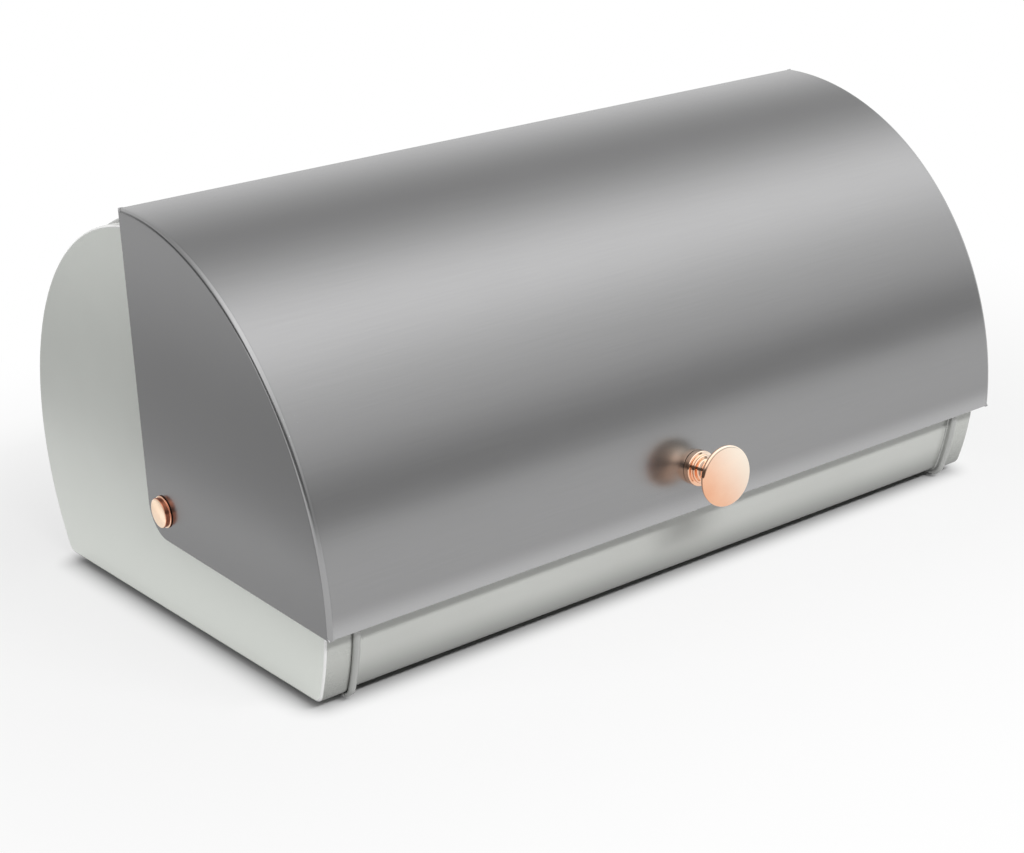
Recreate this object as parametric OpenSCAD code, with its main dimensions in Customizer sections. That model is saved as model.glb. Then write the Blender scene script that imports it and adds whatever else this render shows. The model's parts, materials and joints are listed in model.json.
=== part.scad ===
// Roll-top bread box in sheet steel. The body is a drum with a flat base: two deep-drawn
// end caps joined by one wrapped sheet. A quarter-round lid with a cheek at each end swings
// back over the drum on two side pivots. X runs along the box, the front faces -Y, Z is up,
// and the origin is the middle of the overall box, on the surface that the feet stand on.

/* [Body] */
// Length over the faces of the two end caps
body_len = 378.8; // [300:0.1:450]
// Radius of the end caps about the pivot axis
body_r = 125.2; // [110:0.1:145]
// Height of the pivot axis above the underside of the end caps
axis_rise = 53; // [44:0.5:62]
// Radius of the two long bottom corners
corner_r = 6; // [5:0.5:9]
// Thickness of all the steel sheet
sheet_t = 0.6; // [0.4:0.05:0.8]
// Radius round the face of an end cap
cap_edge_r = 2; // [1.2:0.1:3]
// How far the wrapped sheet lies inside the outline of the caps
wrap_inset = 1; // [0.9:0.1:1.5]
// Depth of the return flanges on the two long edges of the opening
lip_flange_w = 9; // [8:0.5:12]

/* [End seam] */
// Distance from an end cap's face to the outer side of its seam
seam_setback = 12.4; // [8:0.2:20]
// Width of the folded seam
seam_w = 4; // [3.6:0.1:6]
// Height of the seam above the outline of the caps
seam_h = 2.3; // [1.8:0.1:3]

/* [Vents] */
// Number of air holes in the back
vent_count = 9; // [3:2:15]
// Radius of an air hole
vent_r = 3; // [1.5:0.1:4]
// Distance between the centres of the air holes
vent_pitch = 16; // [12:0.5:20]
// Angle of the row of air holes above the horizontal, seen from the back
vent_deg = 32; // [10:1:50]

/* [Lid] */
// How much the radius of the lid exceeds that of the end caps
lid_rise = 12.5; // [11.5:0.1:16]
// How far the centre of the lid's arc lies behind the pivot axis
lid_back = 5.8; // [3:0.1:7]
// How far the centre of the lid's arc lies below the pivot axis
lid_drop = 4; // [2:0.1:5]
// Angle of the lid's lower edge below the horizontal
lid_low_deg = 6.1; // [4:0.1:8]
// Angle of the lid's upper edge above the horizontal
lid_high_deg = 89.8; // [84:0.1:94]
// How far the lid swings open
lid_travel = 88; // [70:1:90]
// Gap between an end cap and the lid's cheek
cheek_gap = 2; // [1.4:0.1:3]
// Radius of a cheek's corner round its pivot
cheek_corner_r = 14; // [12:0.5:18]
// Width of the folded rim of a cheek, which lies flush over the lid sheet's stepped end
rim_w = 2.5; // [1.5:0.1:2.5]
// How far the rim stands proud of the cheek's face
rim_proud = 0.2; // [0.1:0.05:0.3]
// Depth of the short hems along the lid's two long edges
hem_w = 4; // [2.5:0.1:4.5]
// Depth of the ledge inside the lid's lower edge, which meets the stops
ledge_w = 14.7; // [13.5:0.1:17]

/* [Pivots] */
// Radius of the bright head of a pivot bolt
bolt_head_r = 7.6; // [6:0.1:10]
// Thickness of the head of a pivot bolt
bolt_head_h = 2.8; // [2:0.1:4]
// Radius of the shank of a pivot bolt
bolt_r = 2.5; // [2:0.1:3]
// Radius of the bush that the cheek turns on
bush_r = 4; // [3.6:0.1:5]
// Radius of the bush's flange between the cheek and the cap
bush_flange_r = 9; // [7:0.5:11]
// Radius of the washer inside the cap
bolt_washer_r = 6; // [5.8:0.1:9]
// Thickness of the washer inside the cap
bolt_washer_t = 1; // [0.6:0.1:1.5]
// Distance across the flats of the cap nut
nut_flats = 8; // [7:0.1:10]
// Thickness of the six-sided part of the cap nut
nut_h = 4; // [3:0.1:6]

/* [Knob] */
// Angle of the knob's axis above the horizontal, about the lid's centre
knob_deg = 2.5; // [2:0.1:12]
// Length of the knob from the lid to the top of its dome
knob_len = 20.8; // [17:0.1:26]
// Radius of the knob's head
knob_head_r = 13.6; // [11:0.1:16]
// Radius of the knob's base flange
knob_base_r = 8; // [7:0.1:10]
// Thickness of the knob's base flange
knob_base_h = 1.8; // [1:0.1:2.5]
// Radius of the second ring on the knob's base
knob_ring_r = 6.4; // [5.6:0.1:7]
// Thickness of the second ring on the knob's base
knob_ring_h = 1.6; // [1:0.1:2.5]
// Radius of the knob's neck
knob_neck_r = 4.4; // [3.6:0.1:5]
// Height of the dome on the knob's head
knob_dome_h = 1.8; // [1.4:0.1:3.5]
// Thickness of the rim of the knob's head
knob_rim_h = 2; // [1.5:0.1:3]
// Radius of the screw that holds the knob
knob_screw_r = 2; // [1.5:0.1:2.5]
// Radius of the knob screw's head
knob_screw_head_r = 4; // [3.5:0.1:5]
// Thickness of the knob screw's head
knob_screw_head_h = 2; // [1.5:0.1:2.4]
// Radius of the washer under the knob screw's head
knob_washer_r = 6; // [5:0.1:7]
// Thickness of the washer under the knob screw's head
knob_washer_t = 0.8; // [0.5:0.1:1]
// Depth of the screw hole in the knob
knob_bore_depth = 11; // [8:0.5:13]

/* [Feet and bumpers] */
// Height of the end caps above the surface that the box stands on
foot_h = 4; // [3.2:0.1:8]
// Radius of a foot where it meets the base
foot_r = 9; // [7.5:0.1:12]
// How much narrower a foot is at the floor
foot_taper = 1; // [0.5:0.1:2]
// Distance from the face of an end cap to the centre of a foot
foot_inset = 38; // [30:1:60]
// Distance from the bend of a long bottom corner to the centre of a foot
foot_setback = 24.5; // [20:0.5:40]
// Radius of the rivet through a foot
foot_rivet_r = 2; // [1.5:0.1:2.5]
// Radius of the two heads of a foot rivet
foot_rivet_head_r = 4; // [3.5:0.1:5]
// Thickness of each head of a foot rivet
foot_rivet_head_h = 1; // [0.8:0.1:1.5]
// Radius of a rubber bumper on the front lip
bumper_r = 3; // [2.5:0.1:3.5]
// Height of a rubber bumper on the front lip
bumper_h = 1.5; // [1:0.1:3]
// Radius of the stem of a rubber bumper
bumper_stem_r = 1.4; // [1:0.1:1.8]
// Distance from the seam to a rubber bumper
bumper_inset = 22; // [12:1:60]

/* [Clearances] */
// Clearance round the bush in the cheek, on the radius
running_gap = 0.05; // [0.02:0.01:0.08]
// Clearance between sheets and round shanks that don't turn
seat_gap = 0.1; // [0.05:0.01:0.15]
// End float of the lid at each side of a cheek
end_float = 0.3; // [0.2:0.05:0.4]
// Gap left at the lid's two stops
stop_gap = 0.4; // [0.3:0.05:0.6]

/* [Hidden] */
$fn = 96;

cap_colour = [0.74, 0.76, 0.73];
wrap_colour = [0.72, 0.74, 0.70];
lid_colour = [0.58, 0.59, 0.60];
rose_colour = [0.93, 0.66, 0.52];
steel_colour = [0.66, 0.66, 0.67];
rubber_colour = [0.16, 0.16, 0.17];
nylon_colour = [0.86, 0.86, 0.84];

// Lid radius and the knob's place on it
lid_r = body_r + lid_rise;
dome_chord_r = knob_head_r - knob_rim_h / 2;
dome_r = (pow(dome_chord_r, 2) + pow(knob_dome_h, 2)) / (2 * knob_dome_h);

// The pivot axis stands so that the whole box, knob included, is centred front to back
knob_seat_r = lid_r + seat_gap;
front_reach = (knob_seat_r + knob_len - dome_r) * cos(knob_deg) + dome_r - lid_back;
rear_reach = body_r + seam_h;
pivot_y = (front_reach - rear_reach) / 2;
pivot_z = foot_h + axis_rise;

// The bottom corners are bent in small steps about a centre on each side of the base
corner_y = sqrt(pow(body_r - corner_r, 2) - pow(axis_rise - corner_r, 2));
corner_deg = asin((axis_rise - corner_r) / (body_r - corner_r));
corner_steps = 4;
corner_step_deg = (90 - corner_deg) / corner_steps;

// Places along X
face_x = body_len / 2;
seam_out_x = face_x - seam_setback;
seam_in_x = seam_out_x - seam_w;
skirt_x = seam_in_x + 2 * sheet_t + seat_gap;
cheek_x = face_x + cheek_gap;
cheek_out_x = cheek_x + sheet_t;
skirt_flange_v = seam_h - sheet_t - seat_gap;

// The lid's ledge seen from the pivot axis, and the edges of the opening that it meets
ledge_tip_r = lid_r - sheet_t / 2 - ledge_w;
function from_pivot(r, deg, lift) = [
    -r * cos(deg) + lid_back - lift * sin(deg), r * sin(deg) - lid_drop + lift * cos(deg)];
ledge_under = from_pivot(ledge_tip_r, -lid_low_deg, 0);
ledge_upper = from_pivot(ledge_tip_r, -lid_low_deg, sheet_t);
bumper_gap = bumper_h + stop_gap;
lip_deg = atan2(-ledge_under[1], -ledge_under[0]) + atan(bumper_gap / norm(ledge_under));
top_deg = lid_travel - atan2(-ledge_upper[1], -ledge_upper[0])
    + atan(stop_gap / norm(ledge_upper));
wrap_r = body_r - wrap_inset;
wrap_base_z = foot_h + wrap_inset;
bumper_at_r = (wrap_r - sheet_t + norm(ledge_under)) / 2;
foot_y = corner_y - foot_setback;
overrun = sheet_t;

// Places something turned about the pivot axis: -Y is outward, seen at an angle that rises
// from the front
module at_front(deg) {
    translate([0, pivot_y, pivot_z]) rotate([-deg, 0, 0]) children();
}

// The same about the centre of the lid's arc
module at_lid(deg) {
    translate([0, pivot_y + lid_back, pivot_z - lid_drop]) rotate([-deg, 0, 0]) children();
}

// Stands a side view, drawn about the pivot axis with its second axis up, at a place on X
module side_view(x, thick) {
    translate([x, pivot_y, pivot_z]) rotate([90, 0, 90]) linear_extrude(thick) children();
}

// Turns a profile of radius and X about an axis along X, from the rear horizontal upwards
module turned(y, z, from, to) {
    translate([0, y, z]) rotate([90, 0, 90]) rotate([0, 0, from])
        rotate_extrude(angle = to - from) children();
}

// The flat base and the flats of its two bent corners, each square to an angle from straight
// down, a given distance outside the outline of the caps
corner_centre = [corner_y, corner_r - axis_rise];
function facing(deg) = [sin(deg), -cos(deg)];
function along(deg) = [cos(deg), sin(deg)];
last_deg = (corner_steps - 1) * corner_step_deg;
function base_side(out) = concat(
    [for (k = [1 : corner_steps - 1]) corner_centre + (corner_r + out)
        / cos(corner_step_deg / 2) * facing((k - 1 / 2) * corner_step_deg)],
    [corner_centre + (corner_r + out) * facing(last_deg) + 3 * body_r * along(last_deg)]);
function mirrored(points) = [for (i = [len(points) - 1 : -1 : 0]) [-points[i][0], points[i][1]]];

module base_outline(out) {
    polygon(concat(base_side(out), mirrored(base_side(out))));
}

// Side view of the whole drum, a given distance outside the outline of the caps
module drum_outline(out) {
    intersection() {
        circle(body_r + out);
        base_outline(out);
    }
}

// A band round the drum between two distances from the outline of the caps
module band(inner, outer) {
    difference() {
        drum_outline(outer);
        drum_outline(inner);
    }
}

module left_side() {
    mirror([1, 0, 0]) children();
}

// End caps

// A drum of solid metal whose face has a rounded edge, with a margin left off all round.
// The round edge is turned, and the flats of the base cut it away with edges of their own.
edge_steps = 3;

module flat_with_edge(k, margin, start_x, top_x, edge_r) {
    flat_deg = k * corner_step_deg;
    flat_z = -corner_centre * facing(abs(flat_deg)) - corner_r + margin;
    far = 2 * body_r;
    rotate([flat_deg, 0, 0]) rotate([90, 0, 0]) linear_extrude(2 * far, center = true)
        polygon(concat([[start_x - overrun, far], [start_x - overrun, flat_z]],
            [for (i = [0 : edge_steps]) let (deg = i * 90 / edge_steps)
                [top_x - edge_r * (1 - sin(deg)), flat_z + edge_r * (1 - cos(deg))]],
            [[top_x, far]]));
}

module rounded_drum(margin) {
    edge_r = cap_edge_r - margin;
    rim_r = body_r - margin;
    top_x = face_x - margin;
    start_x = margin > 0 ? skirt_x - overrun : skirt_x;
    translate([0, pivot_y, pivot_z]) intersection() {
        rotate([90, 0, 90]) rotate_extrude() {
            translate([0, start_x]) square([rim_r - edge_r, top_x - start_x]);
            translate([0, start_x]) square([rim_r, top_x - edge_r - start_x]);
            translate([rim_r - edge_r, top_x - edge_r]) circle(edge_r);
        }
        intersection_for(k = [1 - corner_steps : corner_steps - 1])
            flat_with_edge(k, margin, start_x, top_x, edge_r);
    }
}

module end_cap() {
    color(cap_colour) difference() {
        union() {
            difference() {
                rounded_drum(0);
                rounded_drum(sheet_t);
            }
            side_view(skirt_x, sheet_t) band(-sheet_t / 2, skirt_flange_v);
        }
        translate([face_x - sheet_t - overrun, pivot_y, pivot_z]) rotate([0, 90, 0])
            cylinder(r = bolt_r + seat_gap, h = sheet_t + 2 * overrun);
    }
}

module end_cap_right() { end_cap(); }
module end_cap_left() { left_side() end_cap(); }

// Wrapped sheet with a folded seam at each end and a return flange along the opening

// Half a sheet's thickness as an angle at the wrap, since each band stops inside its flange
wrap_half_deg = asin(sheet_t / 2 / wrap_r);

module opening() {
    far_r = 2 * body_r;
    from = 180 - top_deg - wrap_half_deg;
    to = 180 + lip_deg + wrap_half_deg;
    polygon([[0, 0], for (k = [0 : 4]) let (deg = from + k * (to - from) / 4)
        far_r * [cos(deg), sin(deg)]]);
}

module wrap_band(x, thick, inner, outer) {
    side_view(x, thick) difference() {
        band(inner, outer);
        opening();
    }
}

// The folded seam hooks over the edge flange of the cap
module seam() {
    under = -wrap_inset - sheet_t;
    wrap_band(seam_in_x, sheet_t, under, seam_h);
    wrap_band(seam_in_x, seam_w, seam_h - sheet_t, seam_h);
    wrap_band(seam_out_x - sheet_t, sheet_t, seat_gap, seam_h);
}

// A flange starts in the middle of its sheet, so that it never shows outside it
module lip_flange(deg, up) {
    at_front(deg) translate([-seam_in_x, sheet_t / 2 - wrap_r, up * sheet_t - sheet_t])
        cube([2 * seam_in_x, lip_flange_w, sheet_t]);
}

module vents() {
    for (i = [0 : vent_count - 1])
        at_front(180 - vent_deg)
            translate([(i - (vent_count - 1) / 2) * vent_pitch, -wrap_r - overrun, 0])
            rotate([-90, 0, 0]) cylinder(r = vent_r, h = sheet_t + 2 * overrun);
}

module foot_places(rear, right) {
    for (y = rear, x = right)
        translate([x * (face_x - foot_inset), pivot_y + y * foot_y, 0]) children();
}

module bumper_places(sides) {
    for (x = sides) at_front(-lip_deg)
        translate([x * (seam_in_x - bumper_inset), -bumper_at_r, 0]) children();
}

module wrap_panel() {
    color(wrap_colour) difference() {
        union() {
            wrap_band(-seam_in_x - sheet_t / 2, 2 * seam_in_x + sheet_t,
                -wrap_inset - sheet_t, -wrap_inset);
            seam();
            left_side() seam();
            lip_flange(-lip_deg, 0);
            lip_flange(top_deg, 1);
        }
        vents();
        foot_places([-1, 1], [-1, 1]) translate([0, 0, wrap_base_z - overrun])
            cylinder(r = foot_rivet_r + seat_gap, h = sheet_t + 2 * overrun);
        bumper_places([-1, 1]) translate([0, 0, -sheet_t - overrun])
            cylinder(r = bumper_stem_r + seat_gap, h = sheet_t + 2 * overrun);
    }
}

// Feet, their rivets and the bumpers that the lid closes on

module foot() {
    recess_h = foot_rivet_head_h + seat_gap + overrun;
    color(rubber_colour) difference() {
        cylinder(r1 = foot_r - foot_taper, r2 = foot_r, h = wrap_base_z);
        translate([0, 0, -overrun])
            cylinder(r = foot_rivet_r + seat_gap, h = wrap_base_z + 2 * overrun);
        translate([0, 0, -overrun])
            cylinder(r = foot_rivet_head_r + seat_gap, h = recess_h + overrun);
    }
}

module foot_front_left() { foot_places([-1], [-1]) foot(); }
module foot_front_right() { foot_places([-1], [1]) foot(); }
module foot_rear_left() { foot_places([1], [-1]) foot(); }
module foot_rear_right() { foot_places([1], [1]) foot(); }

module foot_rivets() {
    shank_z = seat_gap + overrun + foot_rivet_head_h;
    top_z = wrap_base_z + sheet_t;
    color(steel_colour) foot_places([-1, 1], [-1, 1]) {
        translate([0, 0, shank_z - foot_rivet_head_h])
            cylinder(r = foot_rivet_head_r, h = foot_rivet_head_h);
        translate([0, 0, shank_z - foot_rivet_head_h])
            cylinder(r = foot_rivet_r, h = top_z + 2 * foot_rivet_head_h - shank_z);
        translate([0, 0, top_z]) cylinder(r = foot_rivet_head_r, h = foot_rivet_head_h);
    }
}

module bumper() {
    tail_h = bumper_stem_r;
    color(rubber_colour) {
        cylinder(r = bumper_r, h = bumper_h);
        translate([0, 0, -sheet_t - tail_h]) cylinder(r = bumper_stem_r, h = sheet_t + tail_h);
        translate([0, 0, -sheet_t - tail_h])
            cylinder(r1 = bumper_stem_r, r2 = bumper_stem_r + sheet_t, h = tail_h);
    }
}

module lip_bumper_left() { bumper_places([-1]) bumper(); }
module lip_bumper_right() { bumper_places([1]) bumper(); }

// Pivots, drawn for the right side with the axis along X

module on_pivot(x) {
    translate([x, pivot_y, pivot_z]) rotate([0, 90, 0]) children();
}

module pivot_bolt() {
    head_x = cheek_out_x + end_float;
    inner_x = face_x - sheet_t - bolt_washer_t - nut_h;
    crown_r = (pow(bolt_head_r, 2) + pow(bolt_head_h / 2, 2)) / bolt_head_h;
    color(rose_colour) {
        on_pivot(head_x) intersection() {
            cylinder(r = bolt_head_r, h = bolt_head_h);
            translate([0, 0, bolt_head_h - crown_r]) sphere(crown_r);
        }
        on_pivot(inner_x) cylinder(r = bolt_r, h = head_x - inner_x);
    }
}

module pivot_bush() {
    color(nylon_colour) difference() {
        union() {
            on_pivot(face_x) cylinder(r = bush_flange_r, h = cheek_gap - end_float);
            on_pivot(face_x) cylinder(r = bush_r, h = cheek_gap + sheet_t + end_float);
        }
        on_pivot(face_x - overrun)
            cylinder(r = bolt_r + seat_gap, h = cheek_gap + 2 * sheet_t + end_float + overrun);
    }
}

module pivot_washer() {
    color(steel_colour) difference() {
        on_pivot(face_x - sheet_t - bolt_washer_t)
            cylinder(r = bolt_washer_r, h = bolt_washer_t);
        on_pivot(face_x - sheet_t - bolt_washer_t - overrun)
            cylinder(r = bolt_r + seat_gap, h = bolt_washer_t + 2 * overrun);
    }
}

module pivot_nut() {
    nut_x = face_x - sheet_t - bolt_washer_t - nut_h;
    shell_r = nut_flats / 2 - sheet_t / 2;
    bore_len = nut_h + seat_gap;
    color(steel_colour) difference() {
        union() {
            on_pivot(nut_x) cylinder(d = nut_flats / cos(30), h = nut_h, $fn = 6);
            translate([nut_x, pivot_y, pivot_z]) sphere(shell_r);
        }
        on_pivot(nut_x - seat_gap) cylinder(r = bolt_r + running_gap, h = bore_len + overrun);
    }
}

module pivot_bolt_right() { pivot_bolt(); }
module pivot_bolt_left() { left_side() pivot_bolt(); }
module pivot_bush_right() { pivot_bush(); }
module pivot_bush_left() { left_side() pivot_bush(); }
module pivot_washer_right() { pivot_washer(); }
module pivot_washer_left() { left_side() pivot_washer(); }
module pivot_nut_right() { pivot_nut(); }
module pivot_nut_left() { left_side() pivot_nut(); }

// Lid: a rolled sheet between two flat cheeks

module lid_arc(short_deg) {
    turned(pivot_y + lid_back, pivot_z - lid_drop, 180 - lid_high_deg + short_deg,
        180 + lid_low_deg - short_deg) children();
}

hem_half_deg = asin(sheet_t / 2 / lid_r);

// Half of the sheet's section, from its middle to its end: it steps in under the cheek's rim
rim_x = cheek_out_x + rim_proud - rim_w;
step_x = rim_x - seat_gap;
function sheet_section() = [
    [lid_r, step_x], [lid_r - sheet_t - seat_gap, step_x],
    [lid_r - sheet_t - seat_gap, cheek_x - seat_gap],
    [lid_r - 2 * sheet_t - seat_gap, cheek_x - seat_gap],
    [lid_r - 2 * sheet_t - seat_gap, step_x - sheet_t], [lid_r - sheet_t, step_x - sheet_t]];
function far_side(points) = [for (i = [len(points) - 1 : -1 : 0]) [points[i][0], -points[i][1]]];

module lid_sheet() {
    hem_half_len = step_x - sheet_t / 2;
    ledge_half_len = seam_in_x - stop_gap;
    color(lid_colour) difference() {
        union() {
            lid_arc(hem_half_deg) polygon(concat(sheet_section(), far_side(sheet_section())));
            at_lid(lid_high_deg) translate([-hem_half_len, sheet_t / 2 - lid_r, -sheet_t])
                cube([2 * hem_half_len, hem_w, sheet_t]);
            at_lid(-lid_low_deg) translate([-hem_half_len, sheet_t / 2 - lid_r, 0])
                cube([2 * hem_half_len, hem_w, sheet_t]);
            at_lid(-lid_low_deg) translate([-ledge_half_len, sheet_t / 2 - lid_r, 0])
                cube([2 * ledge_half_len, ledge_w, sheet_t]);
        }
        at_lid(knob_deg) translate([0, -lid_r - overrun, 0]) rotate([-90, 0, 0])
            cylinder(r = knob_screw_r + seat_gap, h = sheet_t + 2 * overrun);
    }
}

// Outline of a cheek about the pivot: two straight edges run from just inside the round
// corner, almost at a tangent, to the two ends of the lid's arc
module cheek_outline() {
    centre = [lid_back, -lid_drop];
    function on_arc(deg, r) = [centre[0] - r * cos(deg), centre[1] + r * sin(deg)];
    top = on_arc(lid_high_deg, lid_r);
    low = on_arc(-lid_low_deg, lid_r);
    top_at = atan2(top[1], top[0]) - acos(cheek_corner_r / norm(top));
    low_at = atan2(low[1], low[0]) + acos(cheek_corner_r / norm(low));
    function on_corner(deg) = (cheek_corner_r - seat_gap) * [cos(deg), sin(deg)];
    far_r = 2 * lid_r;
    function beyond(from, to) = from + far_r * (to - from) / norm(to - from);
    circle(cheek_corner_r);
    intersection() {
        translate(centre) circle(lid_r - sheet_t / 2);
        polygon([[0, 0], on_corner(top_at), beyond(on_corner(top_at), top),
            on_arc(lid_high_deg / 2, 2 * far_r), beyond(on_corner(low_at), low),
            on_corner(low_at)]);
    }
}

module lid_cheek() {
    color(lid_colour) difference() {
        union() {
            side_view(cheek_x, sheet_t) cheek_outline();
            lid_arc(hem_half_deg) translate([lid_r - sheet_t, rim_x])
                square([sheet_t, rim_w]);
        }
        on_pivot(cheek_x - overrun)
            cylinder(r = bush_r + running_gap, h = sheet_t + 2 * overrun);
    }
}

module lid_cheek_right() { lid_cheek(); }
module lid_cheek_left() { left_side() lid_cheek(); }

// Knob, turned about an axis that stands square to the lid

module on_knob(r) {
    at_lid(knob_deg) translate([0, -r, 0]) rotate([90, 0, 0]) children();
}

module knob_profile() {
    dome_z = knob_len - knob_dome_h;
    rim_z = dome_z - knob_rim_h;
    flare_r = dome_chord_r - knob_neck_r;
    square([knob_base_r, knob_base_h]);
    square([knob_ring_r, knob_base_h + knob_ring_h]);
    square([knob_neck_r, dome_z]);
    difference() {
        translate([knob_neck_r, rim_z - flare_r]) square(flare_r);
        translate([knob_head_r - knob_rim_h / 2, rim_z - flare_r]) circle(flare_r);
    }
    translate([0, rim_z]) square([dome_chord_r, knob_rim_h]);
    translate([dome_chord_r, rim_z + knob_rim_h / 2]) circle(knob_rim_h / 2);
    intersection() {
        translate([0, knob_len - dome_r]) circle(dome_r);
        translate([0, dome_z]) square([dome_chord_r, knob_dome_h]);
    }
}

module knob() {
    color(rose_colour) difference() {
        on_knob(knob_seat_r) rotate_extrude() intersection() {
            knob_profile();
            square([knob_head_r, knob_len]);
        }
        on_knob(knob_seat_r - overrun)
            cylinder(r = knob_screw_r + running_gap, h = knob_bore_depth + overrun);
    }
}

// A flat washer inside the round lid touches it at the washer's edge
inner_r = lid_r - sheet_t;
washer_seat_r = sqrt(pow(inner_r, 2) - pow(knob_washer_r, 2)) - running_gap;

module knob_washer() {
    color(steel_colour) difference() {
        on_knob(washer_seat_r - knob_washer_t) cylinder(r = knob_washer_r, h = knob_washer_t);
        on_knob(washer_seat_r - knob_washer_t - overrun)
            cylinder(r = knob_screw_r + seat_gap, h = knob_washer_t + 2 * overrun);
    }
}

module knob_screw() {
    head_r = washer_seat_r - knob_washer_t - knob_screw_head_h;
    tip_r = knob_seat_r + knob_bore_depth - knob_screw_r / 2;
    color(steel_colour) {
        on_knob(head_r) cylinder(r = knob_screw_head_r, h = knob_screw_head_h);
        on_knob(head_r) cylinder(r = knob_screw_r, h = tip_r - head_r);
    }
}

wrap_panel();
end_cap_left();
end_cap_right();
foot_front_left();
foot_front_right();
foot_rear_left();
foot_rear_right();
foot_rivets();
lip_bumper_left();
lip_bumper_right();
pivot_bolt_left();
pivot_bolt_right();
pivot_bush_left();
pivot_bush_right();
pivot_washer_left();
pivot_washer_right();
pivot_nut_left();
pivot_nut_right();
lid_sheet();
lid_cheek_left();
lid_cheek_right();
knob();
knob_washer();
knob_screw();
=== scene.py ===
"""A sheet-steel bread box with a swing-back lid, dressed over its CAD frame for a studio picture.

Lengths in the classes of pieces are millimetres and angles are degrees, as on a drawing. Points,
and the heights in finishes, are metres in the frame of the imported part: X along the box, the
front faces -Y, Z is up.
"""
import json
import logging
import math
from dataclasses import dataclass
from enum import Enum
from typing import Callable, Mapping, Sequence, Union

import bmesh
import bpy
from mathutils import Matrix, Vector


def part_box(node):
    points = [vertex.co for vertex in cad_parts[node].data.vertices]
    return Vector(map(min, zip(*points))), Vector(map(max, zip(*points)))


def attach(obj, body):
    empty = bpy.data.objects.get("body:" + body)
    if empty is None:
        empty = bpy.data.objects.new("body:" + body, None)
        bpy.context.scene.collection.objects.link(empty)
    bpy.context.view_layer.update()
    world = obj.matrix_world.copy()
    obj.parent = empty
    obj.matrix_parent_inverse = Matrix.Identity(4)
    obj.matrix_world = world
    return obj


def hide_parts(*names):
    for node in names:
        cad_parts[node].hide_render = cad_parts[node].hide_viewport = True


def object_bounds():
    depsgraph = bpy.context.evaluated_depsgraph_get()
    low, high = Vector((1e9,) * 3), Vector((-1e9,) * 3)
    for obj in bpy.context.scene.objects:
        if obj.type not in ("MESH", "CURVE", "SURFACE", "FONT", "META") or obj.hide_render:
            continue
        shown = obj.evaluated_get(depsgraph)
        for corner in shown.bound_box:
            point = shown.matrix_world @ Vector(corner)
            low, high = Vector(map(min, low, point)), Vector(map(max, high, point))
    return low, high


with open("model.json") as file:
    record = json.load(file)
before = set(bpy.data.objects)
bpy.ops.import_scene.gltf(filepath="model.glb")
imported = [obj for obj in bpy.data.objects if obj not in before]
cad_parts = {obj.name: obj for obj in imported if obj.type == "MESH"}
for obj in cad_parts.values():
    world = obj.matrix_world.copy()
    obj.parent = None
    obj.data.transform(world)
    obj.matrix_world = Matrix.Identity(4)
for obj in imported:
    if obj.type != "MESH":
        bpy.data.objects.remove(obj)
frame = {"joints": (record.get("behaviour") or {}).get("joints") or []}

CAD_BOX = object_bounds()
MM = 0.001
LOG = logging.getLogger("bread_box")
FULL_TURN = 2.0 * math.pi
AXIS_X = Vector((1.0, 0.0, 0.0))
AXIS_Z = Vector((0.0, 0.0, 1.0))

Pair = tuple[float, float]
Colour = tuple[float, float, float]
Ring = list[Vector]


class Side(Enum):
    """An end of the box, seen from the front, by the sign of its X."""

    LEFT = -1
    RIGHT = 1

    @property
    def word(self) -> str:
        """The side's name as it stands in the names of pieces."""
        return self.name.lower()


class Body(Enum):
    """A body of the mechanism that pieces ride on."""

    DRUM = "root"
    LID = "lid"


# Shader maths

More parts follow.
